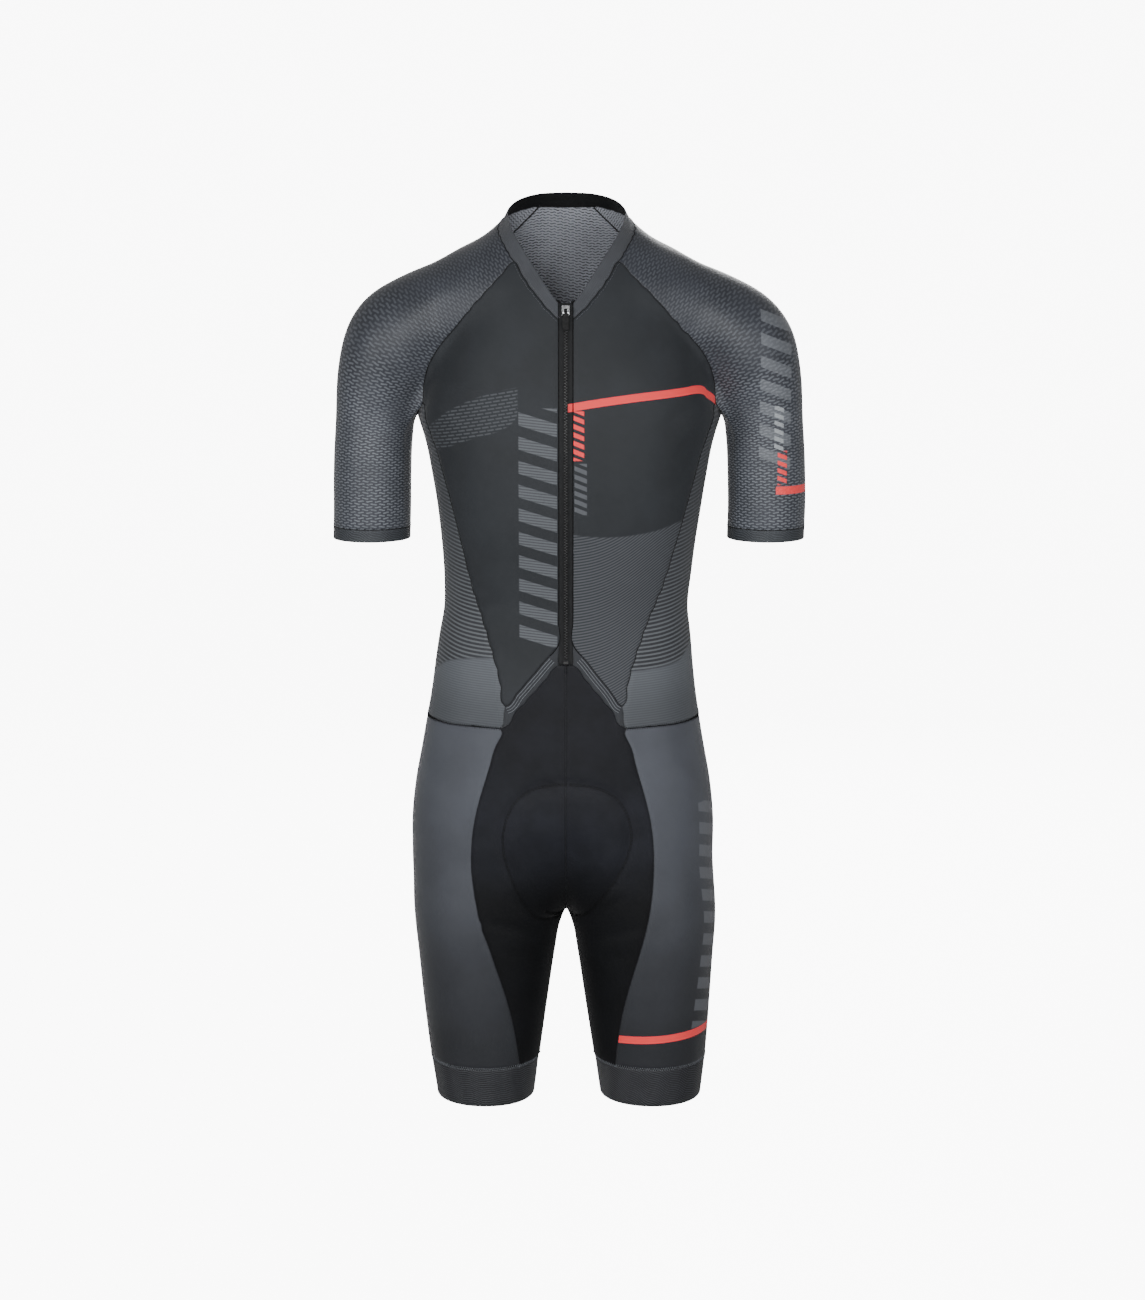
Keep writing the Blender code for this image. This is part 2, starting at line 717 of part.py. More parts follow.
def sleeve_mouth(lines):
    """The closed ring at the armpit: over the arm, then back under it."""
    front = lines["raglan_front"][-1]
    back = lines["raglan_back"][-1]
    top = shoulder_ridge(NECK_CELLS + RAGLAN_LOW_CELLS)[-1]
    over = yoke_row(front, top, back, YOKE_COLUMNS)
    return over, np.concatenate([over, lines["underarm"][::-1][1:-1]])


def sleeve(lines):
    cells = NECK_CELLS + RAGLAN_LOW_CELLS
    ridge = shoulder_ridge(cells)
    over, ring = sleeve_mouth(lines)
    rows = [lines["neck"][NECK_CELLS:NECK_CELLS + YOKE_COLUMNS + 1]]
    for i in range(1, cells):
        front = lines["raglan_front"][i]
        back = lines["raglan_back"][i]
        rows.append(yoke_row(front, ridge[i], back, YOKE_COLUMNS))
    rows.append(over)
    top = ring[:, 2].mean()
    heights = np.linspace(top, SLEEVE_SEAM, SLEEVE_CELLS + 1)[1:]
    rings = [ring] + sleeve_rings(ring, heights)
    return [Patch(np.stack(rows), False), Patch(np.stack(rings), True)]


def sleeve_hem(lines):
    ring = sleeve_mouth(lines)[1]
    return [Patch(np.stack(sleeve_rings(ring, (SLEEVE_SEAM, SLEEVE_EDGE))), True)]


def neck_strip(lines, first, last):
    """Neckband between two samples of the neck seam, three points wide."""
    low = lines["neck"][first:last + 1]
    high = lines["neck_edge"][first:last + 1]
    middle = settle((low + high) / 2)
    return np.stack([low, middle, high])


def neck_band(lines):
    return [Patch(neck_strip(lines, 0, NECK_CELLS + COLLAR_START), False)]


def collar(lines):
    half = neck_strip(lines, NECK_CELLS + COLLAR_START, len(lines["neck"]) - 1)
    other = mirrored(half[:, :-1])[:, ::-1]
    return [Patch(np.concatenate([half, other], axis=1), False)]


def short_front(lines):
    inner = np.concatenate([lines["placket_foot"], lines["middle_front"][1:],
                            lines["inner_leg"][1:]])
    outer = np.concatenate([lines["hem_lower"], lines["leg_front"][1:]])
    return [Patch(short_rows(inner, outer), False)]


def short_back(lines):
    inner = np.concatenate([lines["middle_back"], lines["inner_leg"][1:]])
    return [Patch(short_rows(lines["leg_back"], inner), False)]


def short_rows(first, last):
    """Rows that may tilt near the crotch and stay level at the top and bottom."""
    rows = span(first, last, INNER_COLUMNS, leg_centre, ANY_WAY)
    level = span(first, last, INNER_COLUMNS, leg_centre, LEVEL)
    steep = np.abs(first[:, 2] - last[:, 2]) > TILT
    near = (first[:, 2] < FORK_TOP) & (first[:, 2] > FORK_BOTTOM)
    rows[~(steep | near)] = level[~(steep | near)]
    return rows


def short_side(lines):
    return [Patch(span(lines["leg_front"], lines["leg_back"], OUTER_COLUMNS, leg_centre), False)]


def leg_band(_lines):
    turn = np.linspace(0, 2 * math.pi, BAND_COLUMNS, endpoint=False)
    direction = np.stack([np.sin(turn), -np.cos(turn), np.zeros_like(turn)], axis=1)
    rings = []
    for height in np.linspace(LEG_SEAM, LEG_EDGE, 3):
        centre_x, centre_y = leg_centre(np.array(height))
        hub = np.tile((float(centre_x), float(centre_y), height), (BAND_COLUMNS, 1))
        rings.append(shoot(hub, direction, reach=110.0))
    return [Patch(np.stack(rings), True)]


def upright_strip(top, bottom, left, right, cells):
    """A strip down the middle of the front, laid on the figure."""
    height = np.linspace(top, bottom, cells + 1)
    columns = []
    for across in (left, right):
        x = np.full_like(height, across)
        start = np.stack([x, np.full_like(height, FRONT_START), height], axis=1)
        columns.append(settle(start, DEPTH_ONLY))
    return np.stack(columns, axis=1)


def zip_tape(_lines):
    return [Patch(upright_strip(ZIP_TOP, HEM_LOWER_TOP, 0.0, ZIP_HALF, TAPE_CELLS), False)]


def zip_chain(_lines):
    strip = upright_strip(CHAIN_TOP, CHAIN_BOTTOM, -CHAIN_HALF, CHAIN_HALF, TAPE_CELLS)
    return [Patch(strip, False)]


# ================================================================ walls
Patch = namedtuple("Patch", "rows closed")


class Skin:
    """An open sheet made of patches whose coinciding points are shared."""

    def __init__(self, patches):
        self.points = []
        self.faces = []
        self.found = {}
        for patch in patches:
            self.add(patch)
        self.points = np.array(self.points)
        self.out = normals(self.points)
        self.face_outwards()

    def number(self, point):
        key = tuple(np.round(point, 2))
        if key not in self.found:
            self.found[key] = len(self.points)
            self.points.append(point)
        return self.found[key]

    def add(self, patch):
        count = patch.rows.shape[1]
        numbers = [[self.number(point) for point in row] for row in patch.rows]
        columns = count if patch.closed else count - 1
        for upper, lower in zip(numbers[:-1], numbers[1:]):
            for c in range(columns):
                nxt = (c + 1) % count
                corners = [upper[c], lower[c], lower[nxt], upper[nxt]]
                face = [p for i, p in enumerate(corners) if p != corners[i - 1]]
                if len(face) > 2:
                    self.faces.append(face)

    def face_outwards(self):
        """Turns every face so that it points away from the figure."""
        score = 0.0
        for face in self.faces:
            a, b, c = self.points[face[0]], self.points[face[1]], self.points[face[2]]
            score += float(np.dot(np.cross(b - a, c - a), self.out[face[0]]))
        if score < 0:
            self.faces = [face[::-1] for face in self.faces]

    def edges(self):
        """The sheet's open edges, in the order of their faces."""
        used = {}
        for face in self.faces:
            for a, b in zip(face, face[1:] + face[:1]):
                used[(a, b)] = True
        return [(a, b) for a, b in used if (b, a) not in used]

    def draw_in(self, distance):
        """Moves the open edges in along the sheet, corners by their mitre."""
        inward = {}
        for a, b in self.edges():
            for end in (a, b):
                side = np.cross(self.out[end], self.points[b] - self.points[a])
                inward.setdefault(end, []).append(side / np.linalg.norm(side))
        for end, sides in inward.items():
            if len(sides) == 1:
                self.points[end] += distance * sides[0]
                continue
            first, second = sides[0], sides[-1]
            mitre = 1 / max(1 + float(np.dot(first, second)), 2 / MITRE_LIMIT ** 2)
            self.points[end] += distance * mitre * (first + second)

    def triangles(self):
        """The sheet's faces, each four-sided one split along its shorter diagonal."""
        made = []
        for face in self.faces:
            if len(face) == 3:
                made.append(face)
                continue
            a, b, c, d = face
            across = np.linalg.norm(self.points[a] - self.points[c])
            other = np.linalg.norm(self.points[b] - self.points[d])
            made += [[a, b, c], [a, c, d]] if across < other else [[a, b, d], [b, c, d]]
        return made

    def solid(self, lift, thick):
        """Points and faces of the closed wall between two offsets of the sheet."""
        outer = self.points + lift * self.out
        inner = outer - np.asarray(thick).reshape(-1, 1) * self.out
        count = len(self.points)
        sheet = self.triangles()
        faces = sheet + [[p + count for p in reversed(face)] for face in sheet]
        for a, b in self.edges():
            faces += self.rim(a, b, count)
        return np.concatenate([outer, inner]), faces

    def rim(self, a, b, count):
        """The wall's edge, split the same way on both sides of a seam."""
        if self.points[a][2] > self.points[b][2]:
            return [[b, a, b + count], [a, a + count, b + count]]
        return [[b, a, a + count], [b, a + count, b + count]]


def lean(points):
    """The figure's stance: a sideways shift that leaves the middle line straight."""
    points = np.array(points, float)
    heights = [row.height for row in STANCE][::-1]
    shifts = [row.shift for row in STANCE][::-1]
    whole = smooth_step(0, SWAY_REACH, np.abs(points[:, 0]))
    points[:, 0] += np.interp(points[:, 2], heights, shifts) * whole
    return points


# ================================================================ seat pad
def pad_centre_line(lines):
    """The pad's middle line, from its front top, under the seat, to its back top."""
    line = lines["seat"]
    lowest = int(np.argmin(line[:, 2]))
    first = int(np.argmin(np.abs(line[:lowest, 2] - PAD_FRONT_TOP)))
    last = lowest + int(np.argmin(np.abs(line[lowest:, 2] - PAD_BACK_TOP)))
    return divide(line[first:last + 1], PAD_STATIONS)


def pad_wing(start, half_width):
    """Points from the middle line outwards, each as far along the cloth as it should be."""
    walk = [start]
    heading = np.array((1.0, 0.0, 0.0))
    for _ in range(int(half_width / PAD_STRIDE) + 2):
        ahead = settle(walk[-1] + PAD_STRIDE * heading, rounds=6)
        heading = (ahead - walk[-1]) / np.linalg.norm(ahead - walk[-1])
        out = normals(ahead)
        heading = heading - np.dot(heading, out) * out
        heading = heading / np.linalg.norm(heading)
        walk.append(ahead)
    walk = np.array(walk)
    steps = np.linalg.norm(np.diff(walk, axis=0), axis=1)
    run = np.concatenate([[0], np.cumsum(steps)])
    at = np.linspace(0, half_width, PAD_COLUMNS + 1)
    return np.stack([np.interp(at, run, walk[:, k]) for k in range(3)], axis=1)


def pad_rows(lines):
    middle = pad_centre_line(lines)
    share = np.linspace(0, 1, len(middle))
    half_widths = read(PAD, "half_width", share)
    rows = []
    for point, half_width in zip(middle, half_widths):
        wing = pad_wing(point, half_width)
        rows.append(np.concatenate([mirrored(wing[1:])[::-1], wing]))
    return np.stack(rows)


def pad_thickness(rows):
    """Thick in the middle, thin along the edge."""
    count, width = rows.shape[:2]
    along = np.linspace(0, 1, count)[:, None]
    across = np.linspace(-1, 1, width)[None, :]
    swell = (1 - across ** 4) * (1 - np.abs(2 * along - 1) ** 10)
    body = read(PAD, "thick", along)
    return (PAD_EDGE + (body - PAD_EDGE) * swell).ravel()


def make_seat_pad(lines):
    rows = pad_rows(lines)
    skin = Skin([Patch(rows, False)])
    points, faces = skin.solid(-WALL - PAD_CLEARANCE, pad_thickness(rows))
    return mesh_object("seat_pad", points, faces, "pad_foam")


# ================================================================ objects
def clear_scene():
    for thing in list(bpy.data.objects):
        bpy.data.objects.remove(thing, do_unlink=True)


def collection(name, hidden=False):
    made = bpy.data.collections.new(name)
    bpy.context.scene.collection.children.link(made)
    made.hide_render = hidden
    return made


def material(name):
    found = bpy.data.materials.get(name)
    if found:
        return found
    made = bpy.data.materials.new(name)
    made.use_nodes = True
    shader = made.node_tree.nodes["Principled BSDF"]
    finish = FINISHES[name]
    shader.inputs["Base Color"].default_value = (*finish.colour, 1.0)
    shader.inputs["Roughness"].default_value = finish.roughness
    shader.inputs["Metallic"].default_value = finish.metallic
    made.diffuse_color = (*finish.colour, 1.0)
    return made


def mesh_object(name, points, faces, finish):
    mesh = bpy.data.meshes.new(name)
    mesh.from_pydata((lean(points) * MM).tolist(), [], faces)
    mesh.update()
    mesh.shade_smooth()
    mesh.set_sharp_from_angle(angle=math.radians(40))
    mesh.materials.append(material(finish))
    made = bpy.data.objects.new(name, mesh)
    bpy.data.collections[NAME].objects.link(made)
    return made


def make_wall(name, patches, finish, lift=0.0, thick=WALL):
    skin = Skin(patches)
    skin.draw_in(SEAM_GAP / 2)
    points, faces = skin.solid(lift, np.full(len(skin.points), thick))
    return mesh_object(name, points, faces, finish)


def make_pair(name, patches, finish):
    """The piece on the wearer's left, and its mirror image on the right."""
    make_wall(name + "_left", patches, finish)
    other = [Patch(mirrored(patch.rows), patch.closed) for patch in patches]
    make_wall(name + "_right", other, finish)


def make_cloth(lines):
    make_pair("front", front_panel(lines), "front_jersey")
    make_pair("front_hem", front_hem(lines), "binding")
    make_pair("side", side_panel(lines), "side_jersey")
    make_wall("back", back_panel(lines), "open_knit")
    make_pair("sleeve", sleeve(lines), "open_knit")
    make_pair("sleeve_hem", sleeve_hem(lines), "binding")
    make_pair("neck_band", neck_band(lines), "binding")
    make_wall("collar", collar(lines), "collar_cloth")
    make_pair("short_front", short_front(lines), "black_jersey")
    make_pair("short_side", short_side(lines), "thigh_jersey")
    make_pair("short_back", short_back(lines), "black_jersey")
    make_pair("leg_band", leg_band(lines), "leg_elastic")
    make_pair("zip_tape", zip_tape(lines), "zip_tape")
    make_wall("zip_chain", zip_chain(lines), "zip_teeth", CHAIN_LIFT + CHAIN_THICK, CHAIN_THICK)


# ================================================================ zip hardware
def front_frame(height):
    """Place on the zip: columns are across, up along the cloth, and outwards."""
    point = settle(np.array([[0.0, FRONT_START, height]]), DEPTH_ONLY)[0]
    out = Vector(normals(point[None])[0])
    out.x = 0.0
    out.normalize()
    across = Vector((1.0, 0.0, 0.0))
    frame = Matrix((across, out.cross(across), out)).transposed().to_4x4()
    frame.translation = Vector(point) * MM
    return frame


def box(name, size, place, rounding, group):
    bpy.ops.mesh.primitive_cube_add(size=1.0)
    made = bpy.context.active_object
    made.name = name
    made.data.name = name
    made.data.transform(Matrix.Diagonal((*(s * MM for s in size), 1.0)))
    made.data.transform(Matrix.Translation(Vector(place) * MM))
    if rounding:
        bevel = made.modifiers.new("rounding", "BEVEL")
        bevel.width = rounding * MM
        bevel.segments = 2
    move_to(made, group)
    return made


def rod(name, radius, length, place, group):
    """A cylinder lying across the zip."""
    bpy.ops.mesh.primitive_cylinder_add(vertices=EYE_SIDES, radius=radius * MM, depth=length * MM)
    made = bpy.context.active_object
    made.name = name
    made.data.name = name
    made.data.transform(Matrix.Rotation(math.pi / 2, 4, "Y"))
    made.data.transform(Matrix.Translation(Vector(place) * MM))
    move_to(made, group)
    return made


def move_to(thing, group):
    for holder in list(thing.users_collection):
        holder.objects.unlink(thing)
    group.objects.link(thing)


def combine(target, tool, operation):
    tool.display_type = "WIRE"
    tool.hide_render = True
    step = target.modifiers.new(operation.lower(), "BOOLEAN")
    step.operation = operation
    step.object = tool


def turn_mesh(thing, matrix):
    thing.data.transform(matrix)


def make_slider(parts, tools):
    face = SLIDER_SEAT + SLIDER_THICK
    size = (SLIDER_WIDTH, SLIDER_LENGTH, SLIDER_THICK)
    middle = (0, 0, SLIDER_SEAT + SLIDER_THICK / 2)
    body = box("zip_slider", size, middle, SLIDER_ROUNDING, parts)
    pieces = []
    for side in (-1, 1):
        size = (LUG_WIDTH, LUG_LENGTH, LUG_HEIGHT + LUG_SUNK)
        place = (side * LUG_SPREAD, -PIN_DOWN, face + (LUG_HEIGHT - LUG_SUNK) / 2)
        pieces.append(box("lug", size, place, 0.0, tools))
    pin = (0, -PIN_DOWN, face + PIN_OUT)
    pieces.append(rod("pin", PIN_RADIUS, 2 * LUG_SPREAD, pin, tools))
    frame = front_frame(SLIDER_HEIGHT)
    for piece in [body] + pieces:
        turn_mesh(piece, frame)
    for piece in pieces:
        combine(body, piece, "UNION")
    body.data.materials.append(material("slider_metal"))


def make_pull(parts, tools):
    """The pull tab, hung by its eye on the slider's pin."""
    pin = Matrix.Translation(Vector((0, -PIN_DOWN, SLIDER_SEAT + SLIDER_THICK + PIN_OUT)) * MM)
    size = (PULL_WIDTH, PULL_LENGTH - EYE_RADIUS, PULL_THICK)
    place = (0, -EYE_RADIUS - TAB_DROP - size[1] / 2, 0)
    plate = box("zip_pull", size, place, PULL_ROUNDING, parts)
    neck = box("pull_neck", NECK_SIZE, (0, -EYE_RADIUS - TAB_DROP / 2, 0), 0.0, tools)
    eye = rod("pull_eye", EYE_RADIUS, EYE_WIDTH, (0, 0, 0), tools)
    bore = rod("pull_bore", EYE_BORE, 2 * EYE_WIDTH, (0, 0, 0), tools)
    frame = front_frame(SLIDER_HEIGHT) @ pin
    hang = Matrix.Rotation(PULL_LEAN, 4, "X")
    for piece in (plate, neck, eye, bore):
        turn_mesh(piece, hang)
    axis = frame.translation.copy()
    rotation = frame.to_3x3().to_4x4()
    for piece in (plate, neck, eye, bore):
        turn_mesh(piece, rotation)
        piece.location = axis
    combine(plate, neck, "UNION")
    combine(plate, eye, "UNION")
    combine(plate, bore, "DIFFERENCE")
    plate.data.materials.append(material("pull_plastic"))


def make_stop(parts):
    place = (0, 0, CHAIN_LIFT + STOP_SIZE[2] / 2)
    stop = box("zip_stop", STOP_SIZE, place, STOP_ROUNDING, parts)
    turn_mesh(stop, front_frame(STOP_HEIGHT))
    stop.data.materials.append(material("slider_metal"))


def main():
    clear_scene()
    parts = collection(NAME)
    tools = collection("cutters", hidden=True)
    lines = seam_lines()
    make_cloth(lines)
    make_seat_pad(lines)
    make_slider(parts, tools)
    make_pull(parts, tools)
    make_stop(parts)


main()
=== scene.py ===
"""The looks of a short-sleeved racing skinsuit in its worn, hollow form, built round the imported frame.

Metres throughout. X runs to the wearer's left, -Y is the front and +Z is up.
The cloth walls of the frame are copied, sewn into one net, smoothed, and cut apart along the seams again.
"""

import heapq
import math
from collections import namedtuple

import bmesh
import bpy
import numpy as np
from mathutils import Euler, Matrix, Vector
from mathutils.bvhtree import BVHTree


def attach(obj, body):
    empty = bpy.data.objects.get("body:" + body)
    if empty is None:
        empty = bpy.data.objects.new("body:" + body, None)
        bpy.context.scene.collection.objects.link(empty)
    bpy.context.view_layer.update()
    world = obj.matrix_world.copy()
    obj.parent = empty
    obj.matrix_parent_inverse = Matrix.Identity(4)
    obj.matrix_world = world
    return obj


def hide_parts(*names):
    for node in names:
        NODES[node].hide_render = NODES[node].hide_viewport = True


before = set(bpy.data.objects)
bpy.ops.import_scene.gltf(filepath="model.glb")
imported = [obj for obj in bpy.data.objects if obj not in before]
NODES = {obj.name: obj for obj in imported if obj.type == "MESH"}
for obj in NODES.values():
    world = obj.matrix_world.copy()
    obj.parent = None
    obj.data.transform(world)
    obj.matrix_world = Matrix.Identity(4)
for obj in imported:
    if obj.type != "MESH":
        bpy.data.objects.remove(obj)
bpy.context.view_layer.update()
MM = 0.001

# -------- the cut
PAIRS = ("front", "front_hem", "side", "sleeve", "sleeve_hem", "neck_band",
         "short_front", "short_side", "short_back", "leg_band")
SINGLES = ("back", "collar")
PANELS = {f"{name}_{side}": (f"{name}_{side}",) for name in PAIRS for side in ("left", "right")}
PANELS |= {name: (name,) for name in SINGLES}
PANELS["zip_tape"] = ("zip_tape_left", "zip_tape_right")    # both tapes, from one roll

CLOTH = 0.8 * MM            # of the finished cloth
WELD = 0.01 * MM
SEWN = 0.75 * MM            # points of neighbouring panels this close are one
SEWN_AT_ARMPIT = 1.6 * MM
MOST_TURN = math.radians(40)    # a seam that turns more than this has a corner there
NET_LEVELS = 2
FLAT_ENOUGH, SQUARE_ENOUGH = math.radians(60), math.radians(80)     # for two triangles to be made one face
WAIST = -528 * MM
LEG_SEAM = -917 * MM
ARM_ACROSS = 213 * MM       # the sleeve's axis
ARM_DEPTH = 2 * MM
ARMPIT = -200 * MM
ARMPIT_HEIGHT = 15 * MM     # above and below it
ARMPIT_FROM, ARMPIT_TO = 140 * MM, 178 * MM     # across
ARMPIT_HOLE = 6             # sides
LEG_ACROSS = 92 * MM        # the leg band's axis
LEG_DEPTH = -1.5 * MM

# Lines inside the figure; a panel's outer face looks away from the nearest of its own.
Bone = namedtuple("Bone", "start end")
TRUNK_BONES = (
    Bone((0, 8, 60), (0, 0, -560)),
    Bone((0, 0, -560), (86, 8, -700)),
    Bone((0, 0, -560), (-86, 8, -700)),
    Bone((86, 8, -700), (92, -1, -990)),
    Bone((-86, 8, -700), (-92, -1, -990)),
)
ARM_BONES = (
    Bone((0, 2, -80), (185, 2, -130)),
    Bone((0, 2, -80), (-185, 2, -130)),
    Bone((185, 2, -130), (213, 2, -360)),
    Bone((-185, 2, -130), (-213, 2, -360)),
)


# ======== small helpers
def points_of(mesh):
    found = np.empty(len(mesh.vertices) * 3)
    mesh.vertices.foreach_get("co", found)
    return found.reshape(-1, 3)


def put_points(mesh, points):
    mesh.vertices.foreach_set("co", np.asarray(points).ravel())
    mesh.update()


def smooth_step(low, high, value):
    t = np.clip((value - low) / (high - low), 0, 1)
    return t * t * (3 - 2 * t)


def add_object(name, mesh):
    made = bpy.data.objects.new(name, mesh)
    bpy.context.scene.collection.objects.link(made)
    return made


def to_mesh(bm, name):
    mesh = bpy.data.meshes.new(name)
    bm.to_mesh(mesh)
    bm.free()
    return mesh


def set_material(thing, material):
    """Gives the whole piece one material."""
    thing.data.materials.clear()
    thing.data.materials.append(material)
    for face in thing.data.polygons:
        face.material_index = 0


def apply_all(thing):
    """Makes the piece's modifiers part of its mesh."""
    graph = bpy.context.evaluated_depsgraph_get()
    made = bpy.data.meshes.new_from_object(thing.evaluated_get(graph))
    thing.modifiers.clear()
    thing.data = made


def away_from(bones, points):
    """Direction from the nearest bone to each point."""
    best = np.full(len(points), np.inf)
    away = np.zeros_like(points)
    for bone in bones:
        start = np.array(bone.start) * MM
        step = np.array(bone.end) * MM - start
        share = np.clip((points - start) @ step / (step @ step), 0, 1)
        off = points - start - share[:, None] * step
        reach = np.linalg.norm(off, axis=1)
        closer = reach < best
        best[closer] = reach[closer]
        away[closer] = off[closer]
    return away


# ======== the cloth's form
def outer_face(node, index):
    """A copy of the outer face of one wall, its faces marked with the panel's number."""
    bm = bmesh.new()
    bm.from_mesh(NODES[node].data)
    bmesh.ops.remove_doubles(bm, verts=bm.verts, dist=WELD)
    bm.normal_update()
    bones = ARM_BONES if node.startswith("sleeve") else TRUNK_BONES
    away = away_from(bones, np.array([v.co for v in bm.verts]))
    hidden = []
    for v, out in zip(bm.verts, away):
        # The wall's rims are narrow, so the larger faces round a point tell which side of the wall it is on.
        facing = sum((face.calc_area() * face.normal for face in v.link_faces), Vector())
        if facing.dot(Vector(out)) < 0:
            hidden.append(v)
    bmesh.ops.delete(bm, geom=hidden, context="VERTS")
    bmesh.ops.join_triangles(bm, faces=bm.faces, angle_face_threshold=FLAT_ENOUGH,
                             angle_shape_threshold=SQUARE_ENOUGH)
    for face in bm.faces:
        face.material_index = index
    return to_mesh(bm, node)


def straighten_seams(net, rounds=3):
    """Evens out the small waves in the seams, along the cloth."""
    surface = BVHTree.FromBMesh(net)
    neighbours = {}
    for edge in net.edges:
        marks = {face.material_index for face in edge.link_faces}
        if len(marks) == 2:
            for v in edge.verts:
                neighbours.setdefault(v, []).append(edge.other_vert(v))
    for _ in range(rounds):
        moves = []
        for v, near in neighbours.items():
            if len(near) == 2 and not v.is_boundary:
                before, after = v.co - near[0].co, near[1].co - v.co
                if before.angle(after) < MOST_TURN:
                    spot = surface.find_nearest((near[0].co + 2 * v.co + near[1].co) / 4)[0]
                    moves.append((v, spot))
        for v, spot in moves:
            v.co = spot


def sewn_net():
    """All outer faces in one net, with the points along each seam made one."""
    net = bmesh.new()
    for index, nodes in enumerate(PANELS.values()):
        for node in nodes:
            shell = outer_face(node, index)
            net.from_mesh(shell)
            bpy.data.meshes.remove(shell)
    bmesh.ops.remove_doubles(net, verts=net.verts, dist=SEWN)
    # The walls are so sharply bent at the tip of each armpit that their edges lie further apart there.
    tips = [v for v in net.verts if abs(v.co.z - ARMPIT) < ARMPIT_HEIGHT and ARMPIT_FROM < abs(v.co.x) < ARMPIT_TO]
    bmesh.ops.remove_doubles(net, verts=tips, dist=SEWN_AT_ARMPIT)
    rims = [e for e in net.edges if e.is_boundary and abs(e.verts[0].co.z - ARMPIT) < ARMPIT_HEIGHT]
    for face in bmesh.ops.holes_fill(net, edges=rims, sides=ARMPIT_HOLE)["faces"]:
        face.material_index = max(f.material_index for e in face.edges for f in e.link_faces)
    straighten_seams(net)
    return add_object("net", to_mesh(net, "net"))


def subdivided(thing, levels):
    """The net's smooth limit surface, as a new mesh."""
    smooth = thing.modifiers.new("smooth", "SUBSURF")
    smooth.levels = levels
    smooth.render_levels = levels
    smooth.boundary_smooth = "PRESERVE_CORNERS"
    smooth.use_limit_surface = True
    graph = bpy.context.evaluated_depsgraph_get()
    made = bpy.data.meshes.new_from_object(thing.evaluated_get(graph))
    thing.modifiers.remove(smooth)
    return made


def fit_net(net, rounds=4):
    """Moves the net's points until its smooth surface passes through where they were."""
    wanted = points_of(net.data)
    cage = wanted.copy()
    for _ in range(rounds):
        limit = subdivided(net, 1)
        cage += wanted - points_of(limit)[:len(wanted)]
        bpy.data.meshes.remove(limit)
        put_points(net.data, cage)


# ======== folds and the pad's print
Fold = namedtuple("Fold", "face start end width depth")
# Seen from its face, in mm: (x, z) on the front and back, (y, z) on the sides. A ridge has a depth below 0.
FOLDS = (
    # round the armholes
    Fold("front", (-139, -176), (-96, -206), 7, 1.3),
    Fold("front", (-141, -190), (-108, -229), 6, 0.9),
    Fold("front", (-131, -160), (-88, -172), 8, -0.7),
    Fold("front", (146, -180), (104, -203), 7, 1.1),
    Fold("front", (149, -196), (117, -240), 5, 0.8),
    Fold("back", (-134, -172), (-92, -196), 8, 1.5),
    Fold("back", (-136, -188), (-104, -233), 6, 1.0),
    Fold("back", (138, -170), (99, -201), 7, 1.3),
    Fold("back", (141, -190), (112, -226), 6, 0.8),
    # inside the sleeves
    Fold("front", (-181, -186), (-206, -205), 6, 1.2),
    Fold("front", (-178, -203), (-213, -226), 7, 0.8),
    Fold("front", (183, -184), (212, -199), 6, 1.1),
    Fold("front", (181, -207), (208, -236), 7, 0.7),
    Fold("back", (-180, -184), (-209, -198), 7, 1.3),
    Fold("back", (183, -190), (214, -209), 6, 1.2),
    # at the waist
    Fold("front", (-121, -372), (-84, -381), 6, 0.7),
    Fold("front", (-120, -402), (-72, -396), 7, 0.8),
    Fold("front", (-127, -436), (-93, -428), 5, 0.6),
    Fold("front", (126, -379), (93, -372), 6, 0.6),
    Fold("front", (125, -411), (77, -420), 7, 0.8),
    Fold("back", (-104, -382), (-22, -391), 8, 1.6),
    Fold("back", (-118, -404), (8, -414), 9, 1.3),
    Fold("back", (-86, -433), (-18, -428), 7, 0.9),
    Fold("back", (109, -376), (36, -384), 8, 1.4),
    Fold("back", (121, -409), (28, -402), 8, 1.2),
    Fold("back", (97, -438), (31, -446), 7, 0.9),
    # round the crotch and under the seat
    Fold("front", (-18, -752), (-62, -712), 6, 1.4),
    Fold("front", (-24, -766), (-83, -742), 7, 1.1),
    Fold("front", (21, -751), (57, -716), 6, 1.2),
    Fold("front", (27, -768), (78, -751), 6, 1.0),
    Fold("front", (-30, -789), (-66, -781), 7, 0.7),
    Fold("front", (32, -793), (71, -781), 6, 0.7),
    Fold("back", (-22, -756), (-88, -734), 8, 1.7),
    Fold("back", (-29, -778), (-104, -765), 7, 1.1),
    Fold("back", (24, -753), (93, -728), 8, 1.6),
    Fold("back", (31, -782), (97, -771), 7, 1.0),
)
# The stitched edge of the seat pad, where it shows through the shorts: (x, z) in mm.
PAD_EDGE = ((4, -587), (40, -594), (61, -613), (70, -642), (66, -668), (54, -694), (38, -719), (22, -741),
            (4, -752), (-14, -751), (-34, -742), (-48, -719), (-60, -690), (-67, -662), (-66, -636), (-56, -610),
            (-34, -592))
PAD_TOP = -570                  # nothing of the pad shows above this
PAD_EDGE_WIDTH = 3.6
PAD_EDGE_DEPTH = 1.8
PAD_SWELL = 1.6
PAD_CHANNELS = (((-36, -684), (-30, -712), (-18, -741)), ((40, -688), (33, -714), (19, -740)),
                ((2, -612), (2, -660), (3, -700)))
CHANNEL_DEPTH, CHANNEL_WIDTH = 0.7, 3.5
FACING = (0.05, 0.45)           # from where a surface starts to face a view, to where it faces it fully


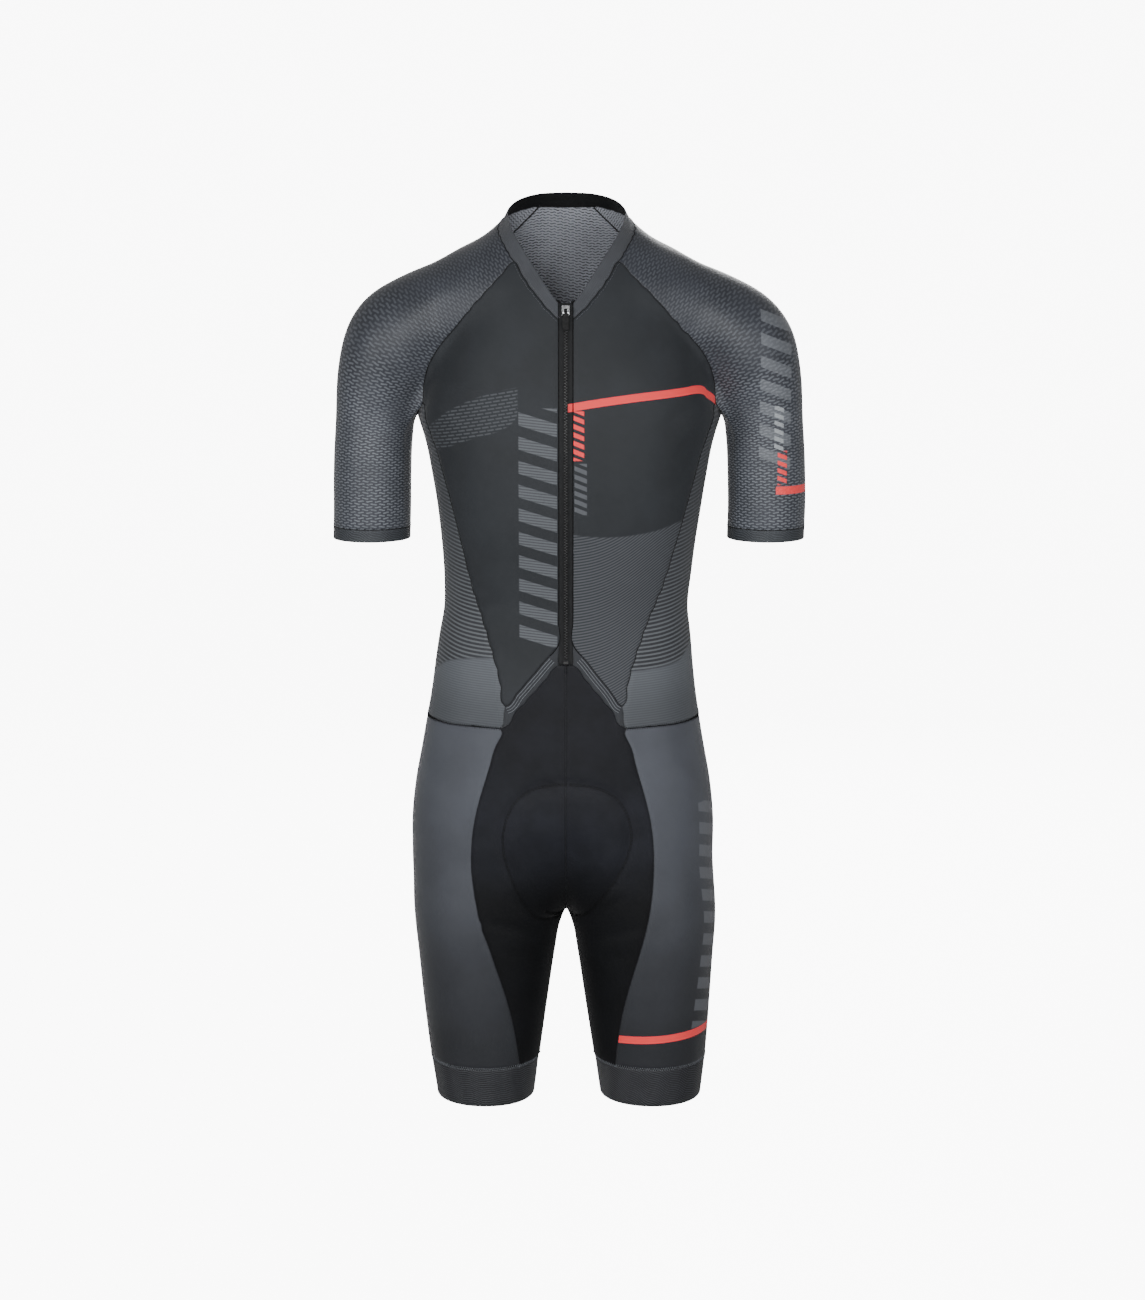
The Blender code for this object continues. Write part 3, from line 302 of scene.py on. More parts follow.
def curve_through(points, steps=8, closed=False):
    """A smooth curve through the given points."""
    points = np.asarray(points, float)
    count = len(points)
    found = []
    for i in range(count if closed else count - 1):
        if closed:
            a, b, c, d = (points[(i + k) % count] for k in (-1, 0, 1, 2))
        else:
            a, b, c, d = (points[min(max(i + k, 0), count - 1)] for k in (-1, 0, 1, 2))
        for t in np.arange(steps) / steps:
            found.append(0.5 * (2 * b + (c - a) * t + (2 * a - 5 * b + 4 * c - d) * t ** 2
                                + (3 * b - a - 3 * c + d) * t ** 3))
    found.append(points[0 if closed else -1])
    return np.array(found)


def reach_to(line, places):
    """Distance from each place to a line of points, and how far along the line that is, from 0 to 1."""
    best = np.full(len(places), np.inf)
    along = np.zeros(len(places))
    for i, (a, b) in enumerate(zip(line, line[1:])):
        step = b - a
        share = np.clip((places - a) @ step / max(step @ step, 1e-9), 0, 1)
        off = np.linalg.norm(places - a - share[:, None] * step, axis=1)
        closer = off < best
        best[closer] = off[closer]
        along[closer] = (i + share[closer]) / (len(line) - 1)
    return best, along


def inside(line, places):
    """Which places a closed line goes round."""
    found = np.zeros(len(places), bool)
    x, z = places.T
    for (x0, z0), (x1, z1) in zip(line, line[1:]):
        if z0 != z1:
            crosses = (z0 > z) != (z1 > z)
            found ^= crosses & (x < x0 + (z - z0) / (z1 - z0) * (x1 - x0))
    return found


def shape_cloth(thing):
    """Presses the folds and the pad's outline into the cloth."""
    mesh = thing.data
    points = points_of(mesh) / MM
    normals = np.array([v.normal for v in mesh.vertices])
    push = np.zeros(len(points))
    views = {
        "front": (points[:, (0, 2)], smooth_step(*FACING, -normals[:, 1])),
        "back": (points[:, (0, 2)], smooth_step(*FACING, normals[:, 1])),
    }
    for fold in FOLDS:
        places, share = views[fold.face]
        reach, along = reach_to(np.array((fold.start, fold.end), float), places)
        taper = np.sin(np.pi * (0.12 + 0.76 * along)) ** 0.8
        push -= fold.depth * share * taper * np.exp(-(reach / (0.7 * fold.width)) ** 2)
    places, share = views["front"]
    share = share * (points[:, 2] < PAD_TOP)
    edge = curve_through(PAD_EDGE, closed=True)
    reach, _ = reach_to(edge, places)
    push -= PAD_EDGE_DEPTH * share * np.exp(-(reach / PAD_EDGE_WIDTH) ** 2)
    push += PAD_SWELL * share * inside(edge, places) * smooth_step(4, 16, reach)
    for channel in PAD_CHANNELS:
        reach, along = reach_to(curve_through(channel), places)
        taper = np.sin(np.pi * (0.1 + 0.8 * along))
        push -= CHANNEL_DEPTH * share * taper * np.exp(-(reach / CHANNEL_WIDTH) ** 2)
    put_points(mesh, (points + push[:, None] * normals) * MM)


# ======== panels
def unwrap(thing, long_way):
    """Lays the panel out flat in millimetres, upright or with its length across. Returns its size in metres."""
    bpy.context.view_layer.objects.active = thing
    thing.select_set(True)
    bpy.ops.object.mode_set(mode="EDIT")
    bpy.ops.mesh.select_all(action="SELECT")
    bpy.ops.uv.unwrap(method="ANGLE_BASED", margin=0)
    bpy.ops.object.mode_set(mode="OBJECT")
    thing.select_set(False)
    mesh = thing.data
    layer = mesh.uv_layers.active
    layer.name = "cut"
    flat = np.empty(len(mesh.loops) * 2)
    layer.data.foreach_get("uv", flat)
    flat = flat.reshape(-1, 2)
    corner = np.empty(len(mesh.loops), int)
    mesh.loops.foreach_get("vertex_index", corner)
    first = np.array([face.loop_start for face in mesh.polygons])
    size = np.array([face.loop_total for face in mesh.polygons])
    area = 0.0
    for k in range(1, size.max() - 1):
        rows = first[size > k + 1]
        a, b, c = flat[rows], flat[rows + k], flat[rows + k + 1]
        area += np.abs((b - a)[:, 0] * (c - a)[:, 1] - (b - a)[:, 1] * (c - a)[:, 0]).sum() / 2
    real = sum(face.area for face in mesh.polygons)
    flat = (flat - flat.mean(axis=0)) * math.sqrt(real / area) / MM
    if long_way:
        _, axes = np.linalg.eigh(np.cov(flat.T))
        up = axes[:, 0]
    else:
        up, *_ = np.linalg.lstsq(flat, (lambda z: z - z.mean())(points_of(mesh)[corner, 2]), rcond=None)
        up /= np.linalg.norm(up)
    flat = flat @ np.array(((up[1], up[0]), (-up[0], up[1])))
    flat -= flat.min(axis=0)
    layer.data.foreach_set("uv", flat.ravel())
    return flat.max(axis=0) * MM, real


def open_tube(bm, tube):
    """Marks the straightest way down the tube's inner side, as the seam along which it was cut."""
    ends = [v for v in bm.verts if v.is_boundary and abs(v.co.x) < tube.across and v.co.z < tube.below]
    middle = (min(v.co.z for v in ends) + max(v.co.z for v in ends)) / 2
    top, bottom = (min((v for v in ends if (v.co.z > middle) == upper), key=lambda v: abs(v.co.y - tube.depth))
                   for upper in (True, False))
    reach = {top: 0.0}
    came = {}
    queue = [(0.0, top.index, top)]
    while bottom not in came:
        so_far, _, v = heapq.heappop(queue)
        for edge in v.link_edges:
            other = edge.other_vert(v)
            far = so_far + edge.calc_length() * (1 + abs(other.co.y - tube.depth) / MM)
            if far < reach.get(other, math.inf):
                reach[other] = far
                came[other] = edge
                heapq.heappush(queue, (far, other.index, other))
    v = bottom
    while v is not top:
        came[v].seam = True
        v = came[v].other_vert(v)


Tube = namedtuple("Tube", "across depth below")
ARM = Tube(ARM_ACROSS, ARM_DEPTH, -150 * MM)
TUBES = {"sleeve": ARM, "sleeve_hem": ARM, "leg_band": Tube(LEG_ACROSS, LEG_DEPTH, 0)}
STRIPS = ("front_hem", "neck_band", "collar", "zip_tape", "sleeve_hem", "leg_band")
TURNED = 0.8 * MM           # width of a panel's turned edge
SUNK = 0.38 * MM


def kind_of(panel):
    return panel.removesuffix("_left").removesuffix("_right")


def cut_panel(whole, index, panel):
    """One panel of the cloth as its own piece, with turned edges, laid out flat and given its thickness."""
    kind = kind_of(panel)
    bm = bmesh.new()
    bm.from_mesh(whole.data)
    bmesh.ops.delete(bm, geom=[f for f in bm.faces if f.material_index != index], context="FACES")
    bmesh.ops.inset_region(bm, faces=bm.faces, use_boundary=True, use_even_offset=True, thickness=TURNED)
    bm.normal_update()
    rim = [(v, v.normal.copy()) for v in bm.verts if v.is_boundary]
    for v, normal in rim:
        v.co -= SUNK * normal
    if kind in TUBES:
        bm.verts.index_update()
        open_tube(bm, TUBES[kind])
    for face in bm.faces:
        face.material_index = 0
        face.smooth = True
    piece = add_object(f"{panel}_cloth", to_mesh(bm, f"{panel}_cloth"))
    size, area = unwrap(piece, kind in STRIPS)
    shell = piece.modifiers.new("thickness", "SOLIDIFY")
    shell.thickness = CLOTH
    shell.offset = -1
    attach(piece, "suit")
    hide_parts(*PANELS[panel])
    return piece


# ======== fabrics
def ink(code):
    """A colour from its screen value."""
    parts = [int(code[i:i + 2], 16) / 255 for i in (0, 2, 4)]
    return tuple(p / 12.92 if p <= 0.04045 else ((p + 0.055) / 1.055) ** 2.4 for p in parts) + (1.0,)


class Fabric:
    """Builds one material. Each socket takes a number, a colour or another node's output. Lengths are in mm."""

    def __init__(self, name, roughness=0.7, specular=0.25, sheen=0.0, metal=0.0):
        self.material = bpy.data.materials.new(name)
        self.material.use_nodes = True
        self.tree = self.material.node_tree
        self.skin = self.tree.nodes["Principled BSDF"]
        self.skin.inputs["Roughness"].default_value = roughness
        self.skin.inputs["Specular IOR Level"].default_value = specular
        self.skin.inputs["Sheen Weight"].default_value = sheen
        self.skin.inputs["Sheen Roughness"].default_value = 0.4
        self.skin.inputs["Metallic"].default_value = metal
        cut = self.node("ShaderNodeUVMap", uv_map="cut").outputs[0]
        self.u, self.v, _ = self.node("ShaderNodeSeparateXYZ", cut).outputs
        self.place = self.node("ShaderNodeTexCoord").outputs["Object"]
        spot = self.node("ShaderNodeVectorMath", self.place, (1 / MM,) * 3, operation="MULTIPLY").outputs[0]
        self.x, self.y, self.z = self.node("ShaderNodeSeparateXYZ", spot).outputs

    def node(self, kind, *inputs, **settings):
        made = self.tree.nodes.new(kind)
        for name, value in settings.items():
            setattr(made, name, value)
        for socket, value in zip(made.inputs, inputs):
            self.feed(socket, value)
        return made

    def feed(self, socket, value):
        if isinstance(value, bpy.types.NodeSocket):
            self.tree.links.new(value, socket)
        else:
            socket.default_value = value

    def math(self, operation, *inputs):
        return self.node("ShaderNodeMath", *inputs, operation=operation).outputs[0]

    def rise(self, value, low, high, start=0.0, end=1.0):
        """From start to end as the value goes from low to high."""
        return self.node("ShaderNodeMapRange", value, low, high, start, end,
                         interpolation_type="SMOOTHSTEP").outputs[0]

    def fall(self, value, low, high):
        return self.rise(value, low, high, 1.0, 0.0)

    def near(self, value, middle, half, soft=0.4):
        """1 where the value is within half of the middle."""
        off = self.math("ABSOLUTE", self.math("SUBTRACT", value, middle))
        return self.fall(off, half - soft, half + soft)

    def both(self, first, *more):
        for other in more:
            first = self.math("MULTIPLY", first, other)
        return first

    def either(self, first, *more):
        for other in more:
            first = self.math("MAXIMUM", first, other)
        return first

    def lean(self, value, slope, other):
        """The value plus a slope times another."""
        return self.math("MULTIPLY_ADD", other, slope, value)

    def wave(self, value, length, height):
        return self.math("MULTIPLY", self.math("SINE", self.math("MULTIPLY", value, math.tau / length)), height)

    def stripes(self, value, step, wide, soft=0.3):
        """1 on stripes this wide, one each step."""
        return self.near(self.math("WRAP", value, step, 0.0), step / 2, wide / 2, soft)

    def dashes(self, u, v, step_u, step_v, long, tall, soft=0.35):
        """Rows of dashes, each row shifted by half a step."""
        row = self.math("FLOOR", self.math("DIVIDE", v, step_v))
        shifted = self.math("MULTIPLY_ADD", row, step_u / 2, u)
        return self.both(self.stripes(shifted, step_u, long, 2 * soft), self.stripes(v, step_v, tall, soft))

    def curve(self, value, points):
        """A height read off a curve through (value, height) points."""
        values, heights = zip(*points)
        low, high, base, top = min(values), max(values), min(heights), max(heights)
        share = self.node("ShaderNodeMapRange", value, low, high, 0.0, 1.0).outputs[0]
        reader = self.node("ShaderNodeFloatCurve", 1.0, share)
        line = reader.mapping.curves[0]
        spots = [((a - low) / (high - low), (b - base) / (top - base)) for a, b in points]
        line.points[0].location = spots[0]
        line.points[1].location = spots[-1]
        for spot in spots[1:-1]:
            line.points.new(*spot)
        reader.mapping.update()
        return self.math("MULTIPLY_ADD", reader.outputs[0], top - base, base)

    def noise(self, step, detail=2.0, stretch=(1, 1, 1)):
        """Smooth variation, from 0 to 1, about this many mm across."""
        spot = self.node("ShaderNodeVectorMath", self.place, tuple(s / (step * MM) for s in stretch),
                         operation="MULTIPLY").outputs[0]
        made = self.tree.nodes.new("ShaderNodeTexNoise")
        made.inputs["Scale"].default_value = 1.0
        made.inputs["Detail"].default_value = detail
        self.feed(made.inputs["Vector"], spot)
        return made.outputs["Fac"]

    def mix(self, share, first, second):
        made = self.tree.nodes.new("ShaderNodeMix")
        made.data_type = "RGBA"
        self.feed(made.inputs[0], share)
        self.feed(made.inputs[6], first)
        self.feed(made.inputs[7], second)
        return made.outputs[2]

    def tint(self, colour, share, low=0.8, high=1.2):
        """The colour made darker or lighter by a share from 0 to 1."""
        return self.scaled(colour, self.rise(share, 0.3, 0.7, low, high))

    def scaled(self, colour, level):
        made = self.node("ShaderNodeVectorMath", operation="SCALE")
        self.feed(made.inputs[0], colour[:3] if isinstance(colour, tuple) else colour)
        self.feed(made.inputs["Scale"], level)
        return made.outputs[0]

    def finish(self, colour, height, depth, roughness=None):
        """Sets the colour, and the relief as a height from 0 to 1 and its depth."""
        self.feed(self.skin.inputs["Base Color"], colour)
        if roughness is not None:
            self.feed(self.skin.inputs["Roughness"], roughness)
        bump = self.tree.nodes.new("ShaderNodeBump")
        bump.inputs["Strength"].default_value = 1.0
        bump.inputs["Distance"].default_value = depth * MM
        self.feed(bump.inputs["Height"], height)
        self.feed(self.skin.inputs["Normal"], bump.outputs[0])
        return self.material


CORAL = ink("ff4547")
FRONT_GREY, LINE_GREY = ink("26292d"), ink("54575c")
RIB_STEP = 0.9
SOFT = 1.0                      # a print's edge fades over this much each way
Bars = namedtuple("Bars", "middle half top bottom step thick slant")    # in mm; the slant is a rise per run
CHEST_CORAL_BARS = Bars(12.5, 6.5, -190, -241, 8.6, 4.8, 0.4)
CHEST_GREY_BARS = Bars(15.5, 6.5, -244, -298, 8.6, 4.8, 0.4)
FRONT_BARS = Bars(-29, 20, -187, -440, 25, 13.5, 0.3)
SLEEVE_BARS = Bars(222, 17, -84, -258, 24, 12, 0.4)
SLEEVE_GREY_BARS = Bars(226, 5, -190, -238, 8.2, 4.4, 0.4)
SLEEVE_CORAL_BARS = Bars(230, 5, -238, -274, 8.2, 4.4, 0.4)
THIGH_BARS = Bars(-31, 22, -619, -874, 25, 13, 0.3)
# Edges of printed areas, as (place across, height) in mm. On the side panels the place is front to back.
CHEST_LINE = ((2, -187), (63, -178), (126, -172), (137, -171), (149, -177), (161, -188))
FRONT_LINES_TOP = ((2, -318), (40, -322), (75, -320), (117, -310), (140, -298))
PATCH_TOP = ((-148, -214), (-103, -182), (-49, -166), (-20, -163))
PATCH_BASE = ((-148, -240), (-103, -222), (-60, -206), (-49, -191))
PATCH_END = -50.0
SIDE_PLAIN_TOP = {"left": ((-95, -468), (-60, -462), (-30, -447), (40, -436)),
                  "right": ((-95, -452), (-60, -460), (-20, -476), (40, -482))}
LINE_HALF = 4.1                 # half the chest line's width
CUFF_LINE, CUFF_LINE_HALF, CUFF_LINE_FROM = -280.0, 4.2, 223.0
THIGH_LINE, THIGH_LINE_HALF, THIGH_LINE_FROM = -886.5, 4.4, 52.0


def fine_knit(f):
    """The ribs and loops of a smooth jersey, as a height."""
    ribs = f.stripes(f.u, RIB_STEP, 0.5, 0.2)
    off_rib = f.math("ABSOLUTE", f.math("SUBTRACT", f.math("WRAP", f.u, RIB_STEP, 0.0), RIB_STEP / 2))
    loops = f.stripes(f.lean(f.v, 0.35, off_rib), 0.8, 0.45, 0.2)
    return f.math("MULTIPLY_ADD", loops, 0.5, f.math("MULTIPLY", ribs, 0.5))


def bars(f, across, along, table):
    """A column of slanted bars between two heights."""
    column = f.near(across, table.middle, table.half, 0.6)
    reach = f.near(along, (table.top + table.bottom) / 2, (table.top - table.bottom) / 2, 0.6)
    return f.both(column, reach, f.stripes(f.lean(along, table.slant, across), table.step, table.thick, 0.5))


def above(f, across, edge, soft=SOFT):
    """1 above a printed area's edge."""
    return f.rise(f.math("SUBTRACT", f.z, f.curve(across, edge)), -soft, soft)


def below(f, across, edge, soft=SOFT):
    return f.fall(f.math("SUBTRACT", f.z, f.curve(across, edge)), -soft, soft)


def chest_line(f):
    height = f.curve(f.x, CHEST_LINE)
    return f.both(f.near(f.math("SUBTRACT", f.z, height), 0.0, LINE_HALF, 0.4),
                  f.rise(f.x, 0.5, 1.5), f.fall(f.x, 158.0, 160.0), f.fall(f.y, -12.0, -8.0))


def front_jersey(side):
    f = Fabric(f"front_jersey_{side}", 0.62, 0.3, 0.12)
    colour = f.tint(FRONT_GREY, f.noise(60), 0.88, 1.12)
    if side == "left":
        lined = below(f, f.x, FRONT_LINES_TOP)
        lines = f.stripes(f.lean(f.lean(f.z, -0.42, f.x), 1.0, f.wave(f.x, 170, 9)), 3.1, 1.5, 0.5)
        colour = f.mix(f.both(lined, 0.6), colour, ink("33363a"))
        colour = f.mix(f.both(lined, lines, 0.8), colour, LINE_GREY)
        colour = f.mix(bars(f, f.x, f.z, CHEST_GREY_BARS), colour, LINE_GREY)
        colour = f.mix(f.either(bars(f, f.x, f.z, CHEST_CORAL_BARS), chest_line(f)), colour, CORAL)
    else:
        patch = f.both(below(f, f.x, PATCH_TOP), above(f, f.x, PATCH_BASE),
                       f.fall(f.x, PATCH_END - SOFT, PATCH_END + SOFT))
        dash = f.dashes(f.lean(f.x, 0.4, f.z), f.lean(f.z, -0.18, f.x), 9.0, 3.6, 7.4, 1.6)
        colour = f.mix(f.both(patch, dash, 0.6), colour, ink("565a5f"))
        fill = f.stripes(f.lean(f.z, 0.1, f.x), 2.9, 1.8, 0.4)
        filled = f.both(bars(f, f.x, f.z, FRONT_BARS), f.math("MULTIPLY_ADD", fill, 0.45, 0.3))
        colour = f.mix(filled, colour, ink("666a6f"))
    return f.finish(colour, fine_knit(f), 0.12)


def side_jersey(side):
    """Curved lines over a plain lower part."""
    f = Fabric(f"side_jersey_{side}", 0.62, 0.3, 0.15)
    colour = f.tint(ink("303236"), f.noise(50), 0.85, 1.15)
    lined = above(f, f.y, SIDE_PLAIN_TOP[side], 2 * SOFT)
    lines = f.stripes(f.lean(f.z, 1.0, f.wave(f.y, 120, 5)), 4.4, 1.9, 0.45)
    strength = f.rise(f.z, -260.0, -430.0, 0.45, 1.0)
    colour = f.mix(f.both(lined, lines, strength), colour, ink("606468"))
    faint = f.stripes(f.lean(f.z, -0.1, f.y), 2.6, 1.2, 0.4)
    # Lighter towards the top of the plain part.
    lighter_upwards = f.rise(f.z, -520.0, -465.0, 0.8, 1.12)
    plain_part = f.scaled(f.mix(f.both(faint, 0.25), ink("4e5257"), ink("707379")), lighter_upwards)
    colour = f.mix(f.math("SUBTRACT", 1.0, lined), colour, plain_part)
    if side == "left":
        colour = f.mix(chest_line(f), colour, CORAL)
    return f.finish(colour, fine_knit(f), 0.12)


def open_knit(name, shade, light, side=""):
    """Dashed rows over a thin ground, fainter towards the shoulder."""
    f = Fabric(name, 0.5, 0.35, 0.25)
    waved = f.lean(f.v, 1.0, f.wave(f.u, 10.0, 0.45))
    dash = f.dashes(f.u, waved, 10.0, 3.3, 7.2, 1.7)
    colour = f.tint(ink(shade), f.noise(45), 0.85, 1.15)
    strength = f.rise(f.z, -70.0, -230.0, 0.35, 0.85)
    colour = f.mix(f.both(dash, strength), colour, f.tint(ink(light), f.noise(25), 0.8, 1.15))
    colour = f.scaled(colour, f.rise(f.z, -200.0, -60.0, 1.05, 0.85))
    if side == "left":
        front = f.fall(f.y, 10.0, 14.0)
        line = f.both(f.near(f.z, CUFF_LINE, CUFF_LINE_HALF), f.rise(f.x, CUFF_LINE_FROM, CUFF_LINE_FROM + SOFT))
        coral = f.either(bars(f, f.x, f.z, SLEEVE_CORAL_BARS), line)
        colour = f.mix(f.both(bars(f, f.x, f.z, SLEEVE_BARS), front, 0.4), colour, ink("85898f"))
        colour = f.mix(f.both(bars(f, f.x, f.z, SLEEVE_GREY_BARS), front), colour, ink("9a9fa4"))
        colour = f.mix(f.both(coral, front), colour, CORAL)
    return f.finish(colour, f.both(dash, strength), 0.3)


def knit_inside():
    """The open knit's inner face, with short dark gaps. Its ground is its own grey made lighter as painted light,
    standing in for light falling inside the suit.
    """
    f = Fabric("open_knit_inside", 0.7, 0.2, 0.2)
    waved = f.lean(f.lean(f.v, 1.0, f.wave(f.u, 7.0, 0.5)), 1.0, f.wave(f.x, 120.0, 4.0))
    gaps = f.dashes(f.u, waved, 8.0, 3.2, 7.0, 1.1)
    strength = f.rise(f.noise(16), 0.25, 0.75, 0.65, 1.0)
    return f.finish(f.mix(f.both(gaps, strength), ink("8f929a"), ink("121317")), gaps, 0.2)


def black_jersey():
    """Lightest over the pad, dark between the legs: painted light over the pad, painted shade between the legs and at
    the top of the shorts.
    """
    f = Fabric("black_jersey", 0.6, 0.2, 0.05)
    # Painted light and shade by height: lighter over the pad, darker between the legs and at the top of the shorts.
    painted_shading = f.both(f.rise(f.z, -730.0, -650.0, 0.36, 1.65), f.rise(f.z, -625.0, -575.0, 1.0, 0.66))
    return f.finish(f.scaled(f.tint(ink("15161b"), f.noise(35), 0.85, 1.2), painted_shading), fine_knit(f), 0.12)


def thigh_jersey(side):
    f = Fabric(f"thigh_jersey_{side}", 0.55, 0.35, 0.2)
    # Painted shade by height: darker towards the leg band, lighter towards the hip.
    painted_shading = f.rise(f.z, -930.0, -560.0, 0.3, 1.22)
    colour = f.scaled(f.tint(ink("43464d"), f.noise(70), 0.9, 1.1), painted_shading)
    if side == "left":
        outer = f.rise(f.x, 108.0, 112.0)
        colour = f.mix(f.both(bars(f, f.y, f.z, THIGH_BARS), outer, 0.5), colour, ink("70737a"))
        line = f.both(f.near(f.lean(f.z, -0.05, f.x), THIGH_LINE, THIGH_LINE_HALF),
                      f.rise(f.x, THIGH_LINE_FROM, THIGH_LINE_FROM + 2 * SOFT), f.fall(f.y, 20.0, 24.0))
        colour = f.mix(line, colour, CORAL)
    return f.finish(colour, fine_knit(f), 0.12)


def elastic(name, shade, light):
    """A band with fine slanting waves."""
    f = Fabric(name, 0.55, 0.35, 0.15)
    lines = f.stripes(f.lean(f.lean(f.v, 0.35, f.u), 1.0, f.wave(f.u, 23.0, 1.1)), 2.6, 1.2, 0.4)
    colour = f.mix(f.both(lines, 0.6), f.tint(ink(shade), f.noise(30), 0.85, 1.15), ink(light))
    return f.finish(colour, lines, 0.25)


def binding(name, shade, light, sheen=0.15):
    """A folded edge with fine ribs across it."""
    f = Fabric(name, 0.6, 2 * sheen, sheen)
    ribs = f.stripes(f.u, 1.3, 0.7, 0.25)
    colour = f.mix(f.both(ribs, 0.5), f.tint(ink(shade), f.noise(25), 0.85, 1.15), ink(light))
    return f.finish(colour, ribs, 0.2)


def woven_tape():
    f = Fabric("zip_tape", 0.6, 0.3)
    rows = f.dashes(f.u, f.v, 1.4, 1.0, 1.0, 0.6, 0.15)
    colour = f.mix(f.both(rows, 0.5), ink("101113"), ink("26282b"))
    colour = f.mix(chest_line(f), colour, CORAL)
    return f.finish(colour, rows, 0.2)


def plain(name, shade, roughness, specular=0.5, metal=0.0, relief=0.02):
    f = Fabric(name, roughness, specular, 0.0, metal)
    fine = f.noise(0.6)
    worn = f.rise(f.noise(2.5), 0.2, 0.8, roughness * 0.8, roughness * 1.25)
    return f.finish(f.tint(ink(shade), fine, 0.92, 1.08), fine, relief, worn)


FABRICS = {
    "front": {side: front_jersey(side) for side in ("left", "right")},
    "side": {side: side_jersey(side) for side in ("left", "right")},
    "sleeve": {side: open_knit(f"open_knit_{side}", "34373e", "6b6f76", side) for side in ("left", "right")},
    "short_side": {side: thigh_jersey(side) for side in ("left", "right")},
    "zip_tape": woven_tape(),
    "short_front": black_jersey(),
    "leg_band": elastic("leg_elastic", "1c1d20", "404247"),
    "sleeve_hem": elastic("sleeve_elastic", "2b2e32", "4a4e54"),
    "front_hem": binding("hem_binding", "2b2d31", "3b3e42"),
    "neck_band": binding("neck_binding", "383a3f", "4f5257"),
    "collar": binding("collar_cloth", "0a0b0c", "151618", 0.05),
    "back": open_knit("open_knit_back", "404349", "696d73"),
}
FABRICS["short_back"] = FABRICS["short_front"]


def fabric_of(panel):
    found = FABRICS[kind_of(panel)]
    return found[panel.rsplit("_", 1)[1]] if isinstance(found, dict) else found


# ======== seams and stitches
SEAM_THREAD, INNER_THREAD, BAND_THREAD, CUFF_THREAD, HEM_THREAD, NECK_THREAD, WAIST_THREAD, PAD_THREAD = (
    radius * MM for radius in (0.45, 0.9, 0.34, 0.22, 0.3, 0.2, 0.3, 0.45))
SEAM_STEP = 2 * MM
DASH, DASH_GAP = 2.2 * MM, 0.7 * MM
PROUD = 0.1 * MM                # of stitches above the cloth
HEM_ROWS = (2.2, 5.0, 7.8)      # from the hem's seam, in mm
SHORTS = ("short_front", "short_side", "short_back")
FLAP_WIDTH, FLAP_SUNK, FLAP_EASE = 3.0 * MM, 1.0 * MM, 0.5 * MM
JOINS_ABOVE = (("front", "sleeve"), ("back", "sleeve"), ("front", "side"), ("back", "side"), ("neck_band", "front"),
               ("neck_band", "sleeve"), ("collar", "sleeve"), ("collar", "back"), ("sleeve", "sleeve_hem"),
               ("front", "front_hem"))
JOINS_BELOW = (("short_front", "short_side"), ("short_back", "short_side"), ("short_front",), ("short_back",),
               ("short_front", "short_back"))


def runs_of(edges):
    """Edges ordered into runs of points, with each run's points as an array."""
    neighbours = {}
    for edge in edges:
        a, b = edge.verts
        neighbours.setdefault(a, []).append(b)
        neighbours.setdefault(b, []).append(a)
    runs = []
    ends = [v for v, near in neighbours.items() if len(near) != 2] + list(neighbours)
    for start in ends:
        while neighbours.get(start):
            run = [start]
            while neighbours.get(run[-1]):
                step = neighbours[run[-1]].pop()
                neighbours[step].remove(run[-1])
                run.append(step)
            if len(run) > 6:
                runs.append(np.array([v.co for v in run]))
    return runs


def even(line, step):
    """The line's points spread evenly, about a step apart."""
    reach = np.concatenate(([0], np.cumsum(np.linalg.norm(np.diff(line, axis=0), axis=1))))
    at = np.linspace(0, reach[-1], max(int(reach[-1] / step), 2) + 1)
    return np.stack([np.interp(at, reach, line[:, k]) for k in range(3)], axis=1)


class Seams:
    """The finished cloth's seams and surface."""

    def __init__(self, thing):
        self.bm = bmesh.new()
        self.bm.from_mesh(thing.data)
        self.surface = BVHTree.FromBMesh(self.bm)
        self.kinds = [kind_of(panel) for panel in PANELS]

    def between(self, *kinds):
        """Runs of the seams between two kinds of panel, or between two panels of one kind."""
        wanted = sorted(kinds if len(kinds) == 2 else kinds * 2)
        found = []
        for edge in self.bm.edges:
            marks = [face.material_index for face in edge.link_faces]
            if len(marks) == 2 and marks[0] != marks[1] and sorted(self.kinds[m] for m in marks) == wanted:
                found.append(edge)
        return runs_of(found)

    def rims(self, kind, keeps):
        """Runs of the open edges of one kind of panel."""
        return runs_of([edge for edge in self.bm.edges if edge.is_boundary
                        and self.kinds[edge.link_faces[0].material_index] == kind
                        and keeps((edge.verts[0].co + edge.verts[1].co) / 2)])

    def beside(self, line, off, proud=0.0, step=1.2 * MM):
        """The line moved sideways over the cloth, then out from it. Off may be one distance or one for each point."""
        line = even(line, step)
        off = np.broadcast_to(off, len(line)) if np.ndim(off) else np.full(len(line), off)
        ahead = np.gradient(line, axis=0)
        found = []
        for point, way, shift in zip(line, ahead, off):
            _, normal, _, _ = self.surface.find_nearest(point)
            side = Vector(way).cross(normal).normalized()
            spot, normal, _, _ = self.surface.find_nearest(Vector(point) + float(shift) * side)
            found.append(spot + proud * normal)
        return np.array(found)

    def zigzag(self, line, step, swing, proud=0.0):
        count = max(int(np.linalg.norm(np.diff(line, axis=0), axis=1).sum() / (step / 2)), 2) + 1
        return self.beside(line, swing * (-1.0) ** np.arange(count), proud, step / 2)

    def dashes(self, line, long, gap, off=0.0, proud=0.0):
        points = self.beside(line, off, proud, (long + gap) / 5)
        return [points[i:i + 5] for i in range(0, len(points) - 4, 6)]


def sew(name, lines, fabric, radius):
    """Threads along lines, as one piece."""
    curve = bpy.data.curves.new(name, "CURVE")
    curve.dimensions = "3D"
    curve.bevel_depth = radius
    curve.bevel_resolution = 1
    curve.materials.append(fabric)
    for line in lines:
        spline = curve.splines.new("POLY")
        spline.points.add(len(line) - 1)
        spline.points.foreach_set("co", np.column_stack((line, np.ones(len(line)))).ravel())
    thread = add_object(name, curve)
    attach(thread, "suit")
    return thread


